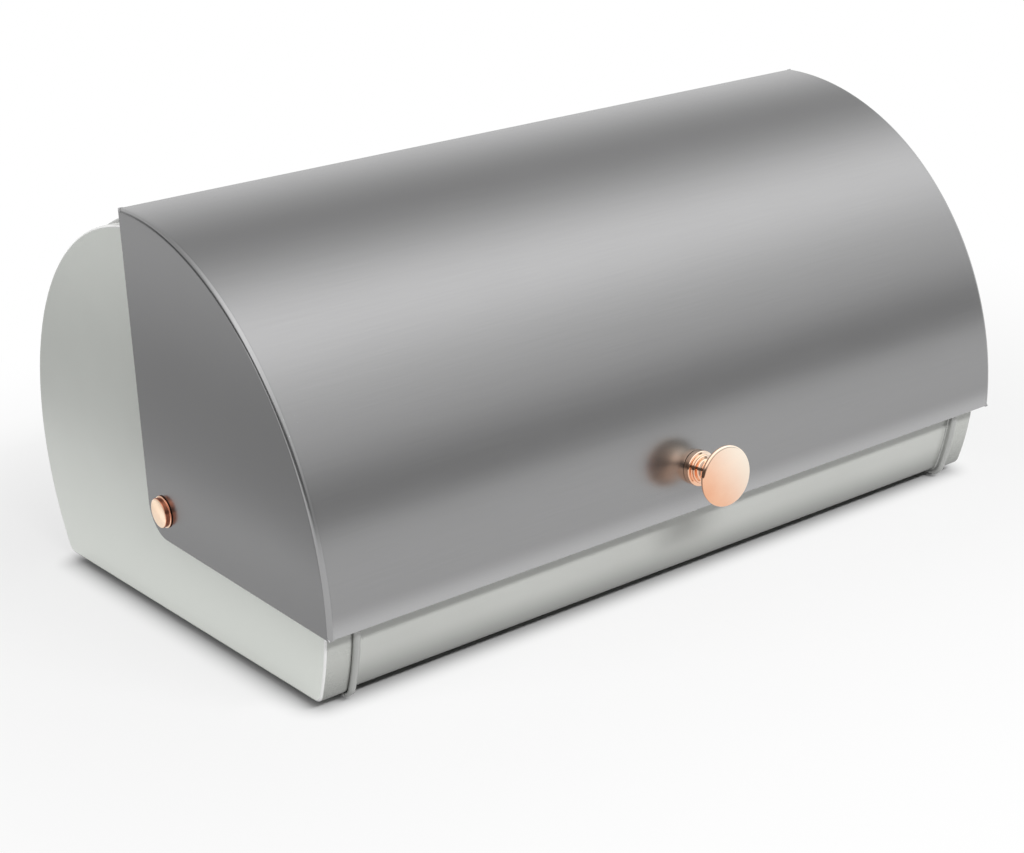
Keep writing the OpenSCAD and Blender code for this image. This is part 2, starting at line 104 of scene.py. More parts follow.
class Signal:
    """A node's output socket, on which shader maths is written as Python."""

    def __init__(self, recipe: "Recipe", socket: bpy.types.NodeSocket) -> None:
        """Wraps a socket.

        Args:
            recipe: The node tree that the socket belongs to.
            socket: An output socket that holds a value, a vector or a colour.
        """
        self.recipe = recipe
        self.socket = socket

    def _join(self, other: "Feed", operation: str, swap: bool = False) -> "Signal":
        """Adds the node that joins this signal to another.

        Args:
            other: A signal, a number or a tuple.
            operation: Name of the Math, Vector Math or Mix operation.
            swap: True where the other operand comes first.

        Returns:
            The joined signal.
        """
        pair: list[Feed] = [other, self] if swap else [self, other]
        kinds = {item.socket.type for item in pair if isinstance(item, Signal)}
        if "RGBA" in kinds:
            first, second = [opaque(tripled(item)) for item in pair]
            return self.recipe.node(
                "ShaderNodeMix", {"data_type": "RGBA", "blend_type": operation},
                {0: 1.0, 6: first, 7: second}, 2)
        if "VECTOR" in kinds or any(isinstance(item, tuple) for item in pair):
            pair = [tripled(item) for item in pair]
            return self.recipe.node(
                "ShaderNodeVectorMath", {"operation": operation}, dict(enumerate(pair)))
        return self.recipe.node("ShaderNodeMath", {"operation": operation}, dict(enumerate(pair)))

    def __add__(self, other: "Feed") -> "Signal":
        """Adds another signal or number."""
        return self._join(other, "ADD")

    __radd__ = __add__

    def __mul__(self, other: "Feed") -> "Signal":
        """Multiplies by another signal or number."""
        return self._join(other, "MULTIPLY")

    __rmul__ = __mul__

    def __sub__(self, other: "Feed") -> "Signal":
        """Takes another signal or number away."""
        return self._join(other, "SUBTRACT")

    def __rsub__(self, other: "Feed") -> "Signal":
        """Takes this signal away from a number."""
        return self._join(other, "SUBTRACT", True)

    def __truediv__(self, other: "Feed") -> "Signal":
        """Divides by another signal or number."""
        return self._join(other, "DIVIDE")

    def __abs__(self) -> "Signal":
        """Gives this value without its sign."""
        kind = "ShaderNodeVectorMath" if self.socket.type == "VECTOR" else "ShaderNodeMath"
        return self.recipe.node(kind, {"operation": "ABSOLUTE"}, {0: self})

    def top(self, other: "Feed") -> "Signal":
        """Gives the larger of this value and another."""
        return self._join(other, "MAXIMUM")

    def between(self, low: float, high: float) -> "Signal":
        """Gives a smooth step from 0 at low to 1 at high."""
        return self.recipe.node(
            "ShaderNodeMapRange", {"interpolation_type": "SMOOTHSTEP"},
            {0: self, 1: low, 2: high, 3: 0.0, 4: 1.0})

    def blend(self, first: "Feed", second: "Feed") -> "Signal":
        """Mixes two colours by this value.

        Args:
            first: The colour where this value is 0.
            second: The colour where this value is 1.

        Returns:
            The mixed colour.
        """
        return self.recipe.node(
            "ShaderNodeMix", {"data_type": "RGBA"},
            {0: self, 6: opaque(first), 7: opaque(second)}, 2)


Feed = Union[Signal, float, tuple]


def tripled(item: Feed) -> Feed:
    """Turns a number into three equal parts, and leaves anything else as it is."""
    return (item,) * 3 if isinstance(item, (int, float)) else item


def opaque(item: Feed) -> Feed:
    """Adds full alpha to a colour of three parts, and leaves anything else as it is."""
    return (*item, 1.0) if isinstance(item, tuple) and len(item) == 3 else item


class Recipe:
    """A node tree that is written from code."""

    def __init__(self, tree: bpy.types.NodeTree) -> None:
        """Empties a tree and keeps it.

        Args:
            tree: The node tree of a material or a world.
        """
        tree.nodes.clear()
        self.tree = tree

    def node(self, kind: str, settings: Mapping[str, object] | None = None,
             inputs: Mapping[Union[int, str], Feed] | None = None,
             output: Union[int, str] = 0) -> Signal:
        """Adds a node: its type, then its settings, then its sockets.

        Args:
            kind: The node's type name.
            settings: Attributes to set, and "stops" for the stops of a ramp.
            inputs: Values or signals by socket name or place.
            output: Name or place of the output that is wanted.

        Returns:
            The output as a signal.
        """
        made = self.tree.nodes.new(kind)
        for key, value in (settings or {}).items():
            if key == "stops":
                self._stops(made.color_ramp, value)
            else:
                setattr(made, key, value)
        for key, value in (inputs or {}).items():
            if isinstance(value, Signal):
                self.tree.links.new(value.socket, made.inputs[key])
            else:
                made.inputs[key].default_value = value
        return Signal(self, made.outputs[output] if made.outputs else made.inputs[0])

    @staticmethod
    def _stops(ramp: bpy.types.ColorRamp, stops: Sequence[tuple[float, float]]) -> None:
        """Writes the grey stops of a ramp."""
        while len(ramp.elements) < len(stops):
            ramp.elements.new(1.0)
        for element, (place, level) in zip(ramp.elements, stops):
            element.position = place
            element.color = (level, level, level, 1.0)
        ramp.interpolation = "B_SPLINE"

    def place(self) -> Signal:
        """Gives the point on the piece, in metres."""
        return self.node("ShaderNodeTexCoord", output="Object")

    def parts(self, vector: Signal) -> list[Signal]:
        """Gives the X, Y and Z of a vector."""
        split = self.tree.nodes.new("ShaderNodeSeparateXYZ")
        self.tree.links.new(vector.socket, split.inputs[0])
        return [Signal(self, output) for output in split.outputs]

    def height(self) -> Signal:
        """Gives the height of the point on the piece, in metres."""
        return self.parts(self.place())[2]

    def ray(self, kind: str) -> Signal:
        """Gives 1 where the ray is of a kind, such as Camera, and otherwise 0."""
        return self.node("ShaderNodeLightPath", output=f"Is {kind} Ray")

    def noise(self, per_metre: Union[float, tuple], detail: float = 2.0,
              seed: float = 0.0) -> Signal:
        """Gives a noise between 0 and 1.

        Args:
            per_metre: Waves in a metre, or one number for each axis.
            detail: Octaves of finer noise.
            seed: Moves the noise to another part of its pattern.

        Returns:
            The noise's value.
        """
        point = self.place() * tripled(per_metre) + tripled(seed)
        return self.node(
            "ShaderNodeTexNoise", {"noise_dimensions": "3D"},
            {"Vector": point, "Scale": 1.0, "Detail": detail, "Roughness": 0.55})

    def surface(self, colour: Signal, metallic: float, roughness: Signal,
                height: Signal, depth_mm: float) -> Signal:
        """Gives the shader of a surface with a fine relief.

        Args:
            colour: Its colour.
            metallic: How much of it is metal.
            roughness: Its roughness.
            height: Its relief, between 0 and 1.
            depth_mm: Height of the relief where its value is 1.

        Returns:
            The shader.
        """
        normal = self.node("ShaderNodeBump", None, {
            "Strength": 1.0, "Distance": depth_mm * MM, "Height": height}, "Normal")
        return self.node("ShaderNodeBsdfPrincipled", None, {
            "Base Color": colour, "Metallic": metallic, "Roughness": roughness, "Normal": normal})

    def finish(self, kind: str, shader: Signal) -> None:
        """Joins the last shader to the output.

        Args:
            kind: "Material" or "World".
            shader: The shader.
        """
        self.node(f"ShaderNodeOutput{kind}", None, {"Surface": shader})


def new_recipe(name: str) -> tuple[bpy.types.Material, Recipe]:
    """Gives a new material and its empty recipe."""
    made = bpy.data.materials.new(name)
    made.use_nodes = True
    return made, Recipe(made.node_tree)


def toned(colour: Colour, scale: float, lift: float = 0.0) -> Colour:
    """Gives a lighter or darker tone of a colour."""
    return tuple(min(1.0, scale * part + lift) for part in colour)


# Finishes

@dataclass(frozen=True)
class Finish:
    """A surface finish, which each kind writes as a material of its own."""

    name: str
    slot: str
    colour: Colour
    roughness: float

    def material(self) -> bpy.types.Material:
        """Builds the finish's material.

        Returns:
            The material.
        """
        made, recipe = new_recipe(self.name)
        recipe.finish("Material", self.shade(recipe))
        made.diffuse_color = (*self.colour, 1.0)
        return made

    def shade(self, recipe: Recipe) -> Signal:
        """Writes the finish into a recipe and returns its shader."""
        raise NotImplementedError


@dataclass(frozen=True)
class BodyLacquer(Finish):
    """Satin metallic lacquer: fine flake, faint orange peel, soft clouds of tone and a painted band
    near the floor.
    """

    metallic: float = 0.25
    cloud_per_m: float = 9.0
    handled_per_m: float = 34.0
    flake_per_m: float = 5200.0
    peel_per_m: float = 650.0
    peel_mm: float = 0.006
    # The band near the floor is painted shade where the tone is above 0, and a painted floor
    # reflection where it is below 0.
    painted_low_shade: float = 0.0
    painted_low_z: Pair = (0.002, 0.022)

    def shade(self, recipe: Recipe) -> Signal:
        """Writes the finish into a recipe and returns its shader."""
        clouds = recipe.noise(self.cloud_per_m, 3.0)
        flake = recipe.noise(self.flake_per_m, 1.0, 3.0)
        handled = recipe.noise(self.handled_per_m, 4.0, 7.0)
        mottle = (clouds * 0.7 + flake * 0.3).between(0.25, 0.75)
        tone = mottle.blend(toned(self.colour, 0.93), toned(self.colour, 1.05))
        # Painted light and shade near the floor: the band below the height turns darker, or lighter
        # for a negative tone.
        if self.painted_low_shade:
            low = 1.0 - recipe.height().between(*self.painted_low_z)
            tone = low.blend(tone, toned(self.colour, 1.0 - self.painted_low_shade))
        rough = self.roughness + handled * 0.08 + flake * 0.03
        height = recipe.noise(self.peel_per_m, 2.0, 1.0) * 0.7 + flake * 0.3
        return recipe.surface(tone, self.metallic, rough, height, self.peel_mm)


@dataclass(frozen=True)
class LidLacquer(Finish):
    """Darker semi-gloss metallic lacquer with a very fine grain along the box, and a painted
    highlight along its lower edge.
    """

    metallic: float = 0.95
    grain_per_m: tuple = (26.0, 2600.0, 2600.0)
    grain_mm: float = 0.0006
    cloud_per_m: tuple = (5.0, 11.0, 11.0)
    handled_per_m: float = 28.0
    painted_edge_light: float = 0.0
    painted_edge_z: Pair = (0.039, 0.050)

    def shade(self, recipe: Recipe) -> Signal:
        """Writes the finish into a recipe and returns its shader."""
        grain = recipe.noise(self.grain_per_m, 3.0)
        clouds = recipe.noise(self.cloud_per_m, 3.0, 4.0)
        handled = recipe.noise(self.handled_per_m, 4.0, 9.0)
        mottle = (grain * 0.6 + clouds * 0.4).between(0.2, 0.8)
        tone = mottle.blend(toned(self.colour, 0.96), toned(self.colour, 1.035))
        # Painted highlight: the band below the edge's height is lighter.
        if self.painted_edge_light:
            painted_sheen = 1.0 - recipe.height().between(*self.painted_edge_z)
            tone = painted_sheen.blend(tone, toned(self.colour, 1.0 + self.painted_edge_light))
        rough = self.roughness + handled * 0.04 + grain * 0.03
        return recipe.surface(tone, self.metallic, rough, grain, self.grain_mm)


@dataclass(frozen=True)
class RoseGold(Finish):
    """Bright rose-gold plating over turned metal, with wipe marks and a painted highlight that
    turns it pale towards one side.
    """

    # The pale colour and the band that it fills are a painted highlight.
    pale: Colour = (0.97, 0.86, 0.73)
    sheen_z: float = 0.0525
    sheen_way: Pair = (0.85, 0.53)
    sheen_reach: Pair = (-0.011, 0.019)
    cloud_per_m: float = 90.0
    wipe_per_m: tuple = (900.0, 260.0, 900.0)
    wipe_mm: float = 0.0012

    def shade(self, recipe: Recipe) -> Signal:
        """Writes the finish into a recipe and returns its shader."""
        clouds = recipe.noise(self.cloud_per_m, 3.0)
        wipes = recipe.noise(self.wipe_per_m, 3.0, 5.0)
        deep = tuple(part * scale for part, scale in zip(self.colour, (0.97, 0.9, 0.86)))
        tone = clouds.between(0.3, 0.7).blend(deep, self.colour)
        # Painted highlight: the colour turns pale towards the upper right of the piece.
        x, _, z = recipe.parts(recipe.place() - (0.0, 0.0, self.sheen_z))
        painted_sheen = (x * self.sheen_way[0] + z * self.sheen_way[1]).between(*self.sheen_reach)
        tone = painted_sheen.blend(tone, self.pale)
        return recipe.surface(tone, 1.0, self.roughness + wipes * 0.07, wipes, self.wipe_mm)


@dataclass(frozen=True)
class ZincPlate(Finish):
    """Bright zinc plating on the hidden fasteners, with its crystalline mottling."""

    metallic: float = 0.95
    crystal_per_m: float = 900.0
    crystal_mm: float = 0.01
    cloud_per_m: float = 240.0

    def shade(self, recipe: Recipe) -> Signal:
        """Writes the finish into a recipe and returns its shader."""
        crystals = recipe.node("ShaderNodeTexVoronoi", {"feature": "F1"},
                               {"Vector": recipe.place(), "Scale": self.crystal_per_m}, "Distance")
        clouds = recipe.noise(self.cloud_per_m, 3.0)
        mottle = (crystals * 0.6 + clouds * 0.5).between(0.2, 0.8)
        tone = mottle.blend(toned(self.colour, 0.78), self.colour)
        rough = self.roughness + clouds * 0.15
        return recipe.surface(tone, self.metallic, rough, crystals, self.crystal_mm)


@dataclass(frozen=True)
class Moulded(Finish):
    """A moulded rubber or nylon with a fine matt skin."""

    skin_per_m: float = 2200.0
    bloom_per_m: float = 130.0
    skin_mm: float = 0.03

    def shade(self, recipe: Recipe) -> Signal:
        """Writes the finish into a recipe and returns its shader."""
        skin = recipe.noise(self.skin_per_m, 2.0)
        bloom = recipe.noise(self.bloom_per_m, 4.0, 6.0)
        tone = bloom.between(0.4, 0.75).blend(self.colour, toned(self.colour, 1.25, 0.01))
        rough = self.roughness + skin * 0.12
        return recipe.surface(tone, 0.0, rough, skin * 0.7 + bloom * 0.3, self.skin_mm)


class Paint(Enum):
    """The finishes that the pieces choose from."""

    # The cap lacquer is painted lighter towards the bottom, a painted reflection of the floor.
    CAP = BodyLacquer("cap_lacquer", "body", (0.59, 0.61, 0.575), 0.25, metallic=0.55,
                      painted_low_shade=-0.45, painted_low_z=(0.0, 0.075))
    # A copy of the cap lacquer for the skirt, painted as shade and darker still near the floor.
    SKIRT = BodyLacquer("skirt_painted_shade", "body", (0.58, 0.59, 0.56), 0.22, metallic=0.30,
                        painted_low_shade=0.45, painted_low_z=(0.0, 0.026))
    # A near-white copy for the cap's rounded edge, a painted highlight.
    EDGE = BodyLacquer("edge_painted_highlight", "body", (0.97, 0.975, 0.96), 0.16, metallic=0.45)
    # A darker copy of the body lacquer for the seam beads, painted shade.
    SEAM = BodyLacquer("seam_lacquer", "body", (0.49, 0.495, 0.48), 0.18, metallic=0.40)
    # The wrap is painted darker towards the bottom, as shade near the floor.
    WRAP = BodyLacquer("wrap_lacquer", "body", (0.65, 0.66, 0.63), 0.17, metallic=0.16,
                       painted_low_shade=0.58, painted_low_z=(0.002, 0.023))
    # The lid is painted lighter along its lower edge, a painted highlight.
    LID = LidLacquer("lid_lacquer", "lid", (0.31, 0.31, 0.312), 0.22, painted_edge_light=0.45)
    # A darker copy of the lid lacquer for the cheeks' flat faces, painted shade.
    CHEEK = LidLacquer("cheek_lacquer", "lid", (0.205, 0.205, 0.207), 0.22)
    # The knob's rose gold is painted pale towards the upper right of its head, a painted highlight.
    ROSE = RoseGold("rose_gold", "rose", (0.91, 0.52, 0.34), 0.03)
    # A paler copy of the rose gold for the pivot heads, a painted highlight.
    BOLT = RoseGold("rose_gold_painted_highlight", "rose", (0.97, 0.75, 0.56), 0.16, pale=(0.97, 0.75, 0.56))
    # A dark copy of the rose gold for the pivot heads' sides, painted shade.
    WALL = RoseGold("rose_gold_painted_shade", "rose", (0.66, 0.25, 0.15), 0.12, pale=(0.66, 0.25, 0.15))
    # A lighter copy of the lid lacquer for the cheeks' rim folds, a painted highlight.
    RIM = LidLacquer("rim_painted_highlight", "lid", (0.36, 0.36, 0.362), 0.20)
    ZINC = ZincPlate("zinc_plate", "zinc", (0.62, 0.62, 0.64), 0.28)
    RUBBER = Moulded("black_rubber", "rubber", (0.018, 0.018, 0.02), 0.62)
    NYLON = Moulded("white_nylon", "nylon", (0.70, 0.69, 0.66), 0.42)

    def material(self) -> bpy.types.Material:
        """Gives the finish's material, built once."""
        return bpy.data.materials.get(self.value.name) or self.value.material()


# Mesh code

@dataclass(frozen=True)
class Station:
    """A place on a side view and the direction that points out of the metal there."""

    place: Vector
    outward: Vector

    def at(self, out_mm: float, x_mm: float) -> Vector:
        """Gives the point a distance out of the outline, at a place on X."""
        return self.place + self.outward * (out_mm * MM) + Vector((x_mm * MM, 0.0, 0.0))


def radial(phi_deg: float) -> Vector:
    """Gives the direction at an angle from the rear horizontal, turning up and to the front."""
    return Vector((0.0, math.cos(math.radians(phi_deg)), math.sin(math.radians(phi_deg))))


def spread(first: float, last: float, count: int) -> list[float]:
    """Gives evenly spread numbers.

    Args:
        first: The first number.
        last: The last number.
        count: How many steps lie between them.

    Returns:
        count + 1 numbers.
    """
    return [first + (last - first) * i / count for i in range(count + 1)]


def arc(centre: Vector, radius_mm: float, first: float, last: float,
        step: float = 2.0) -> list[Station]:
    """Gives stations along an arc that bulges outward.

    Args:
        centre: The arc's centre.
        radius_mm: Its radius.
        first: Angle of its first station from the rear horizontal.
        last: Angle of its last station.
        step: Largest angle between stations.

    Returns:
        The stations.
    """
    count = max(1, math.ceil(abs(last - first) / step))
    return [Station(centre + radial(phi) * (radius_mm * MM), radial(phi))
            for phi in spread(first, last, count)]


def quarter(centre: Pair, radius: float, first: float, last: float, count: int = 5) -> list[Pair]:
    """Gives points of an arc in a profile.

    Args:
        centre: The arc's centre in the profile.
        radius: Its radius.
        first: Angle of its first point from the profile's first axis.
        last: Angle of its last point.
        count: How many steps it has.

    Returns:
        The points.
    """
    turns = [math.radians(angle) for angle in spread(first, last, count)]
    return [(centre[0] + radius * math.cos(turn), centre[1] + radius * math.sin(turn))
            for turn in turns]


def fold(centre: Pair, radius: float, first: float, last: float, count: int) -> list[Pair]:
    """Gives points of a quarter in a section of sheet, with the distance out of the outline first.

    Args:
        centre: The arc's centre: its place on X, then its distance out of the outline.
        radius: Its radius.
        first: Angle of its first point from X.
        last: Angle of its last point.
        count: How many steps it has.

    Returns:
        Distances out of the outline, and along X.
    """
    return [(out, x) for x, out in quarter(centre, radius, first, last, count)]


def dome(edge: Pair, top: float, count: int) -> list[Pair]:
    """Gives points of a shallow dome, from beside its edge to its middle.

    Args:
        edge: Radius and height of its edge.
        top: Height of its middle.
        count: How many steps it has.

    Returns:
        Radius and height of each point.
    """
    chord, rise = edge[0], top - edge[1]
    crown = (chord ** 2 + rise ** 2) / (2.0 * rise)
    turns = spread(math.asin(chord / crown), 0.0, count)[1:]
    return [(crown * math.sin(turn), top - crown + crown * math.cos(turn)) for turn in turns]


def flange(middle: Vector, mid_mm: float, phi: float, toward: int, depths: Sequence[float],
           bend_r: float, sheet: float) -> list[Station]:
    """Gives the bend and flange at the edge of a rolled sheet, from the tip to the round.

    Args:
        middle: Centre of the round.
        mid_mm: Radius of the round in the middle of the sheet.
        phi: Angle of the edge from the rear horizontal.
        toward: 1 where the sheet ends at larger angles, and -1 where at smaller ones.
        depths: Distances in from the round of the flange's stations, deepest first.
        bend_r: Radius of the bend.
        sheet: Thickness of the sheet.

    Returns:
        The stations in the middle of the sheet.
    """
    out, up = radial(phi), radial(phi + 90.0 * toward)
    back = sheet / 2.0
    centre = middle + (out * (mid_mm - bend_r) - up * (back + bend_r)) * MM
    stations = [Station(middle + (out * (mid_mm - depth) - up * back) * MM, up) for depth in depths]
    for turn in spread(90.0, 0.0, 5):
        way = out * math.cos(math.radians(turn)) + up * math.sin(math.radians(turn))
        stations.append(Station(centre + way * (bend_r * MM), way))
    return stations


class Skin:
    """A mesh that is built up from points and then becomes a piece of the part."""

    def __init__(self) -> None:
        """Starts an empty mesh."""
        self.mesh = bmesh.new()

    def loft(self, rings: Sequence[Ring], closed: bool = False) -> "Skin":
        """Joins closed rings of points with four-sided faces.

        Args:
            rings: Rings with the same number of points.
            closed: True where the last ring joins the first, and False where both are filled.

        Returns:
            This skin.
        """
        rows = [[self.mesh.verts.new(point) for point in ring] for ring in rings]
        pairs = list(zip(rows, rows[1:])) + ([(rows[-1], rows[0])] if closed else [])
        for low, high in pairs:
            for i in range(len(low)):
                j = (i + 1) % len(low)
                self.mesh.faces.new((low[i], low[j], high[j], high[i]))
        if not closed:
            self.mesh.faces.new(rows[0])
            self.mesh.faces.new(rows[-1])
        return self

    def lathe(self, foot: Vector, axis: Vector, profile: Sequence[Pair], closed: bool = False,
              steps: int = 64, limit: Callable[[float], float] | None = None) -> "Skin":
        """Turns a profile of radius and height about an axis.

        Args:
            foot: The point on the axis that heights start from.
            axis: The axis.
            profile: Radius and height of each point in millimetres.
            closed: True where the profile is a closed loop round a bore.
            steps: How many steps a turn has.
            limit: Gives the largest radius at an angle, for a piece with flats.

        Returns:
            This skin.
        """
        across = axis.cross(AXIS_Z if abs(axis.z) < 0.9 else AXIS_X).normalized()
        over = axis.cross(across).normalized()
        rings = []
        for radius, height in profile:
            ring = []
            for i in range(steps):
                turn = FULL_TURN * i / steps
                reach = min(radius, limit(turn)) if limit else radius
                ring.append(foot + axis * (height * MM)
                            + (across * math.cos(turn) + over * math.sin(turn)) * (reach * MM))
            rings.append(ring)
        return self.loft(rings, closed)

    def sheet(self, path: Sequence[Station], xs: Sequence[float], thick: float,
              there: Callable[[int, int], bool] = lambda i, j: True) -> "Skin":
        """Bends a sheet along a path of stations in the middle of its thickness.

        Args:
            path: The stations.
            xs: Places along X where the sheet may end or be notched.
            thick: The sheet's thickness.
            there: Tells whether the cell at a step of the path and a step along X is metal.

        Returns:
            This skin.
        """
        points = {(i, j, side): self.mesh.verts.new(path[i].at(side * thick / 2.0, xs[j]))
                  for i in range(len(path)) for j in range(len(xs)) for side in (-1, 1)}
        cells = {(i, j) for i in range(len(path) - 1) for j in range(len(xs) - 1) if there(i, j)}
        for i, j in cells:
            for side in (-1, 1):
                self.mesh.faces.new([points[i + a, j + b, side]
                                     for a, b in ((0, 0), (1, 0), (1, 1), (0, 1))])
            for step, ends in (((-1, 0), ((0, 0), (0, 1))), ((1, 0), ((1, 0), (1, 1))),
                               ((0, -1), ((0, 0), (1, 0))), ((0, 1), ((0, 1), (1, 1)))):
                if (i + step[0], j + step[1]) not in cells:
                    first, last = [(i + a, j + b) for a, b in ends]
                    self.mesh.faces.new([points[(*first, -1)], points[(*last, -1)],
                                         points[(*last, 1)], points[(*first, 1)]])
        loose = [vert for vert in self.mesh.verts if not vert.link_faces]
        bmesh.ops.delete(self.mesh, geom=loose, context="VERTS")
        return self

    def close(self) -> bmesh.types.BMesh:
        """Welds the points, turns the faces outward and returns the mesh."""
        bmesh.ops.remove_doubles(self.mesh, verts=self.mesh.verts, dist=1e-6)
        bmesh.ops.dissolve_degenerate(self.mesh, edges=self.mesh.edges, dist=1e-7)
        bmesh.ops.recalc_face_normals(self.mesh, faces=self.mesh.faces)
        return self.mesh

    def thing(self, name: str) -> bpy.types.Object:
        """Turns the skin into an object of the scene.

        Args:
            name: The object's name.

        Returns:
            The object.
        """
        data = bpy.data.meshes.new(name)
        self.close().to_mesh(data)
        self.mesh.free()
        made = bpy.data.objects.new(name, data)
        bpy.context.scene.collection.objects.link(made)
        return made


def plate(name: str, path: Sequence[Station], middle: Vector, hole_mm: float, faces: Pair,
          edge: Sequence[Ring]) -> bpy.types.Object:
    """Builds a flat end of sheet with a round hole.

    Args:
        name: The piece's name.
        path: The stations round its outline.
        middle: The hole's middle.
        hole_mm: The hole's radius.
        faces: Places on X of its outer and its inner face.
        edge: The rings of its edge, from the outer face to the inner one.

    Returns:
        The object.
    """
    ways = [(station.place - middle).normalized() * (hole_mm * MM) for station in path]
    outer, inner = [[middle + way + AXIS_X * (x * MM) for way in ways] for x in faces]
    return Skin().loft([outer, *edge, inner], closed=True).thing(name)


def carve(target: bpy.types.Object, cutter: bpy.types.Object) -> None:
    """Cuts one object out of another and removes the cutter.

    Args:
        target: The object that is cut.
        cutter: The object that is taken away from it.
    """
    cut = target.modifiers.new("cut", "BOOLEAN")
    cut.operation = "DIFFERENCE"
    cut.solver = "EXACT"
    cut.object = cutter
    bpy.context.view_layer.update()
    result = target.evaluated_get(bpy.context.evaluated_depsgraph_get())
    shaped = bpy.data.meshes.new_from_object(result)
    target.modifiers.clear()
    target.data = shaped
    bpy.data.objects.remove(cutter)


def finish_piece(piece: bpy.types.Object, body: Body, paint: Paint, nodes: Sequence[str] = (),
                 bevel_mm: float = 0.0, sharp_deg: float = 40.0) -> bpy.types.Object:
    """Shades a piece, paints it and seats it on its body.

    Args:
        piece: The object.
        body: The body that it rides on.
        paint: Its finish.
        nodes: The CAD nodes that it stands for.
        bevel_mm: Width of the small round along its sharp edges, or 0 for none.
        sharp_deg: Edges above this angle stay sharp where there is no bevel.

    Returns:
        The object.
    """
    piece.data.shade_smooth()
    if bevel_mm > 0.0:
        edge = piece.modifiers.new("edge", "BEVEL")
        edge.width = bevel_mm * MM
        edge.segments = 2
        edge.limit_method = "ANGLE"
        edge.angle_limit = math.radians(50.0)
        edge.use_clamp_overlap = True
    else:
        piece.data.set_sharp_from_angle(angle=math.radians(sharp_deg))
    weigh = piece.modifiers.new("normals", "WEIGHTED_NORMAL")
    weigh.keep_sharp = True
    weigh.weight = 80
    piece.data.materials.clear()
    piece.data.materials.append(paint.material())
    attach(piece, body.value)
    if nodes:
        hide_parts(*nodes)
    LOG.info("%s rides on %s, %d faces", piece.name, body.value, len(piece.data.polygons))
    return piece


def repaint(piece: bpy.types.Object, paints: Sequence[Paint],
            choose: Callable[[bpy.types.MeshPolygon], int]) -> None:
    """Adds more finishes to a piece and picks one for each face.

    Args:
        piece: The object, which has its main finish.
        paints: The finishes that follow the main one.
        choose: Gives a face's place in the list of finishes, where the main one is 0.
    """
    for paint in paints:
        piece.data.materials.append(paint.material())
    for face in piece.data.polygons:
        face.material_index = choose(face)


# The part's layout, measured on the frame

@dataclass(frozen=True)
class Layout:
    """The drum, the lid and the pivot axis, as the frame gives them."""

    pivot: Vector
    body_r: float
    axis_rise: float
    face_x: float
    lid_centre: Vector
    lid_r: float
    corner_r: float = 6.0
    sheet: float = 0.6
    flange_h: float = 1.6
    hole_r: float = 2.6
    lip_deg: float = 9.268
    lid_low_deg: float = 6.1
    lid_high_deg: float = 89.8
    rim_x: float = 189.66

    @classmethod
    def measure(cls, lid_back: float = 5.8, lid_drop: float = 4.0) -> "Layout":
        """Takes the layout from the frame.

        Args:
            lid_back: How far the lid's arc is centred behind the pivot axis.
            lid_drop: How far it is centred below the pivot axis.

        Returns:
            The layout.
        """
        pivot = Vector((0.0, *frame["joints"][0]["pos_m"][1:]))
        low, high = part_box("end_cap_right")
        lid_centre = pivot + Vector((0.0, lid_back * MM, -lid_drop * MM))
        lid_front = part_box("lid_cheek_right")[0][1]
        return cls(pivot=pivot, body_r=(high[2] - pivot.z) / MM - cls.flange_h,
                   axis_rise=(pivot.z - low[2]) / MM - cls.flange_h, face_x=high[0] / MM,
                   lid_centre=lid_centre, lid_r=(lid_centre.y - lid_front) / MM)

    @property
    def lip_at(self) -> float:
        """Angle of the front lip from the rear horizontal."""
        return 180.0 + self.lip_deg

    @property
    def lid_span(self) -> Pair:
        """Angles of the lid's lower and upper edges from the rear horizontal."""
        return 180.0 + self.lid_low_deg, 180.0 - self.lid_high_deg

    @property
    def corner(self) -> Pair:
        """Centre of the rear bottom corner's bend, as distances behind and above the pivot."""
        rise = self.corner_r - self.axis_rise
        return math.sqrt((self.body_r - self.corner_r) ** 2 - rise ** 2), rise

    @property
    def corner_deg(self) -> float:
        """Angle below the horizontal where the bend of a bottom corner meets the round."""
        return math.degrees(math.asin(-self.corner[1] / (self.body_r - self.corner_r)))

    def local(self, y_mm: float, z_mm: float) -> Vector:
        """Gives a point by its distance behind and above the pivot axis."""
        return self.pivot + Vector((0.0, y_mm * MM, z_mm * MM))

    def base(self, count: int = 24) -> list[Station]:
        """Gives stations along the flat base, from the front to the rear."""
        reach = self.corner[0]
        return [Station(self.local(y, -self.axis_rise), radial(-90.0))
                for y in spread(-reach, reach, count)]

    def bend(self, rear: bool) -> list[Station]:
        """Gives stations round a bottom corner, in the direction that turns up from the rear."""
        y, z = self.corner
        if rear:
            return arc(self.local(y, z), self.corner_r, -90.0, -self.corner_deg, 8.0)
        return arc(self.local(-y, z), self.corner_r, 180.0 + self.corner_deg, 270.0, 8.0)

    def below(self) -> list[Station]:
        """Gives stations under the drum from the rear to the front, after its rear round."""
        return self.bend(True)[::-1][1:] + self.base()[::-1][1:] + self.bend(False)[::-1][1:]

    def loop(self) -> list[Station]:
        """Gives stations all round the drum."""
        crown = arc(self.pivot, self.body_r, -self.corner_deg, 180.0 + self.corner_deg)
        return self.bend(True) + crown[1:-1] + self.bend(False) + self.base()[1:-1]


def shifted(path: Sequence[Station], out_mm: float) -> list[Station]:
    """Moves stations along their outward directions."""
    return [Station(station.at(out_mm, 0.0), station.outward) for station in path]


# Body of the box

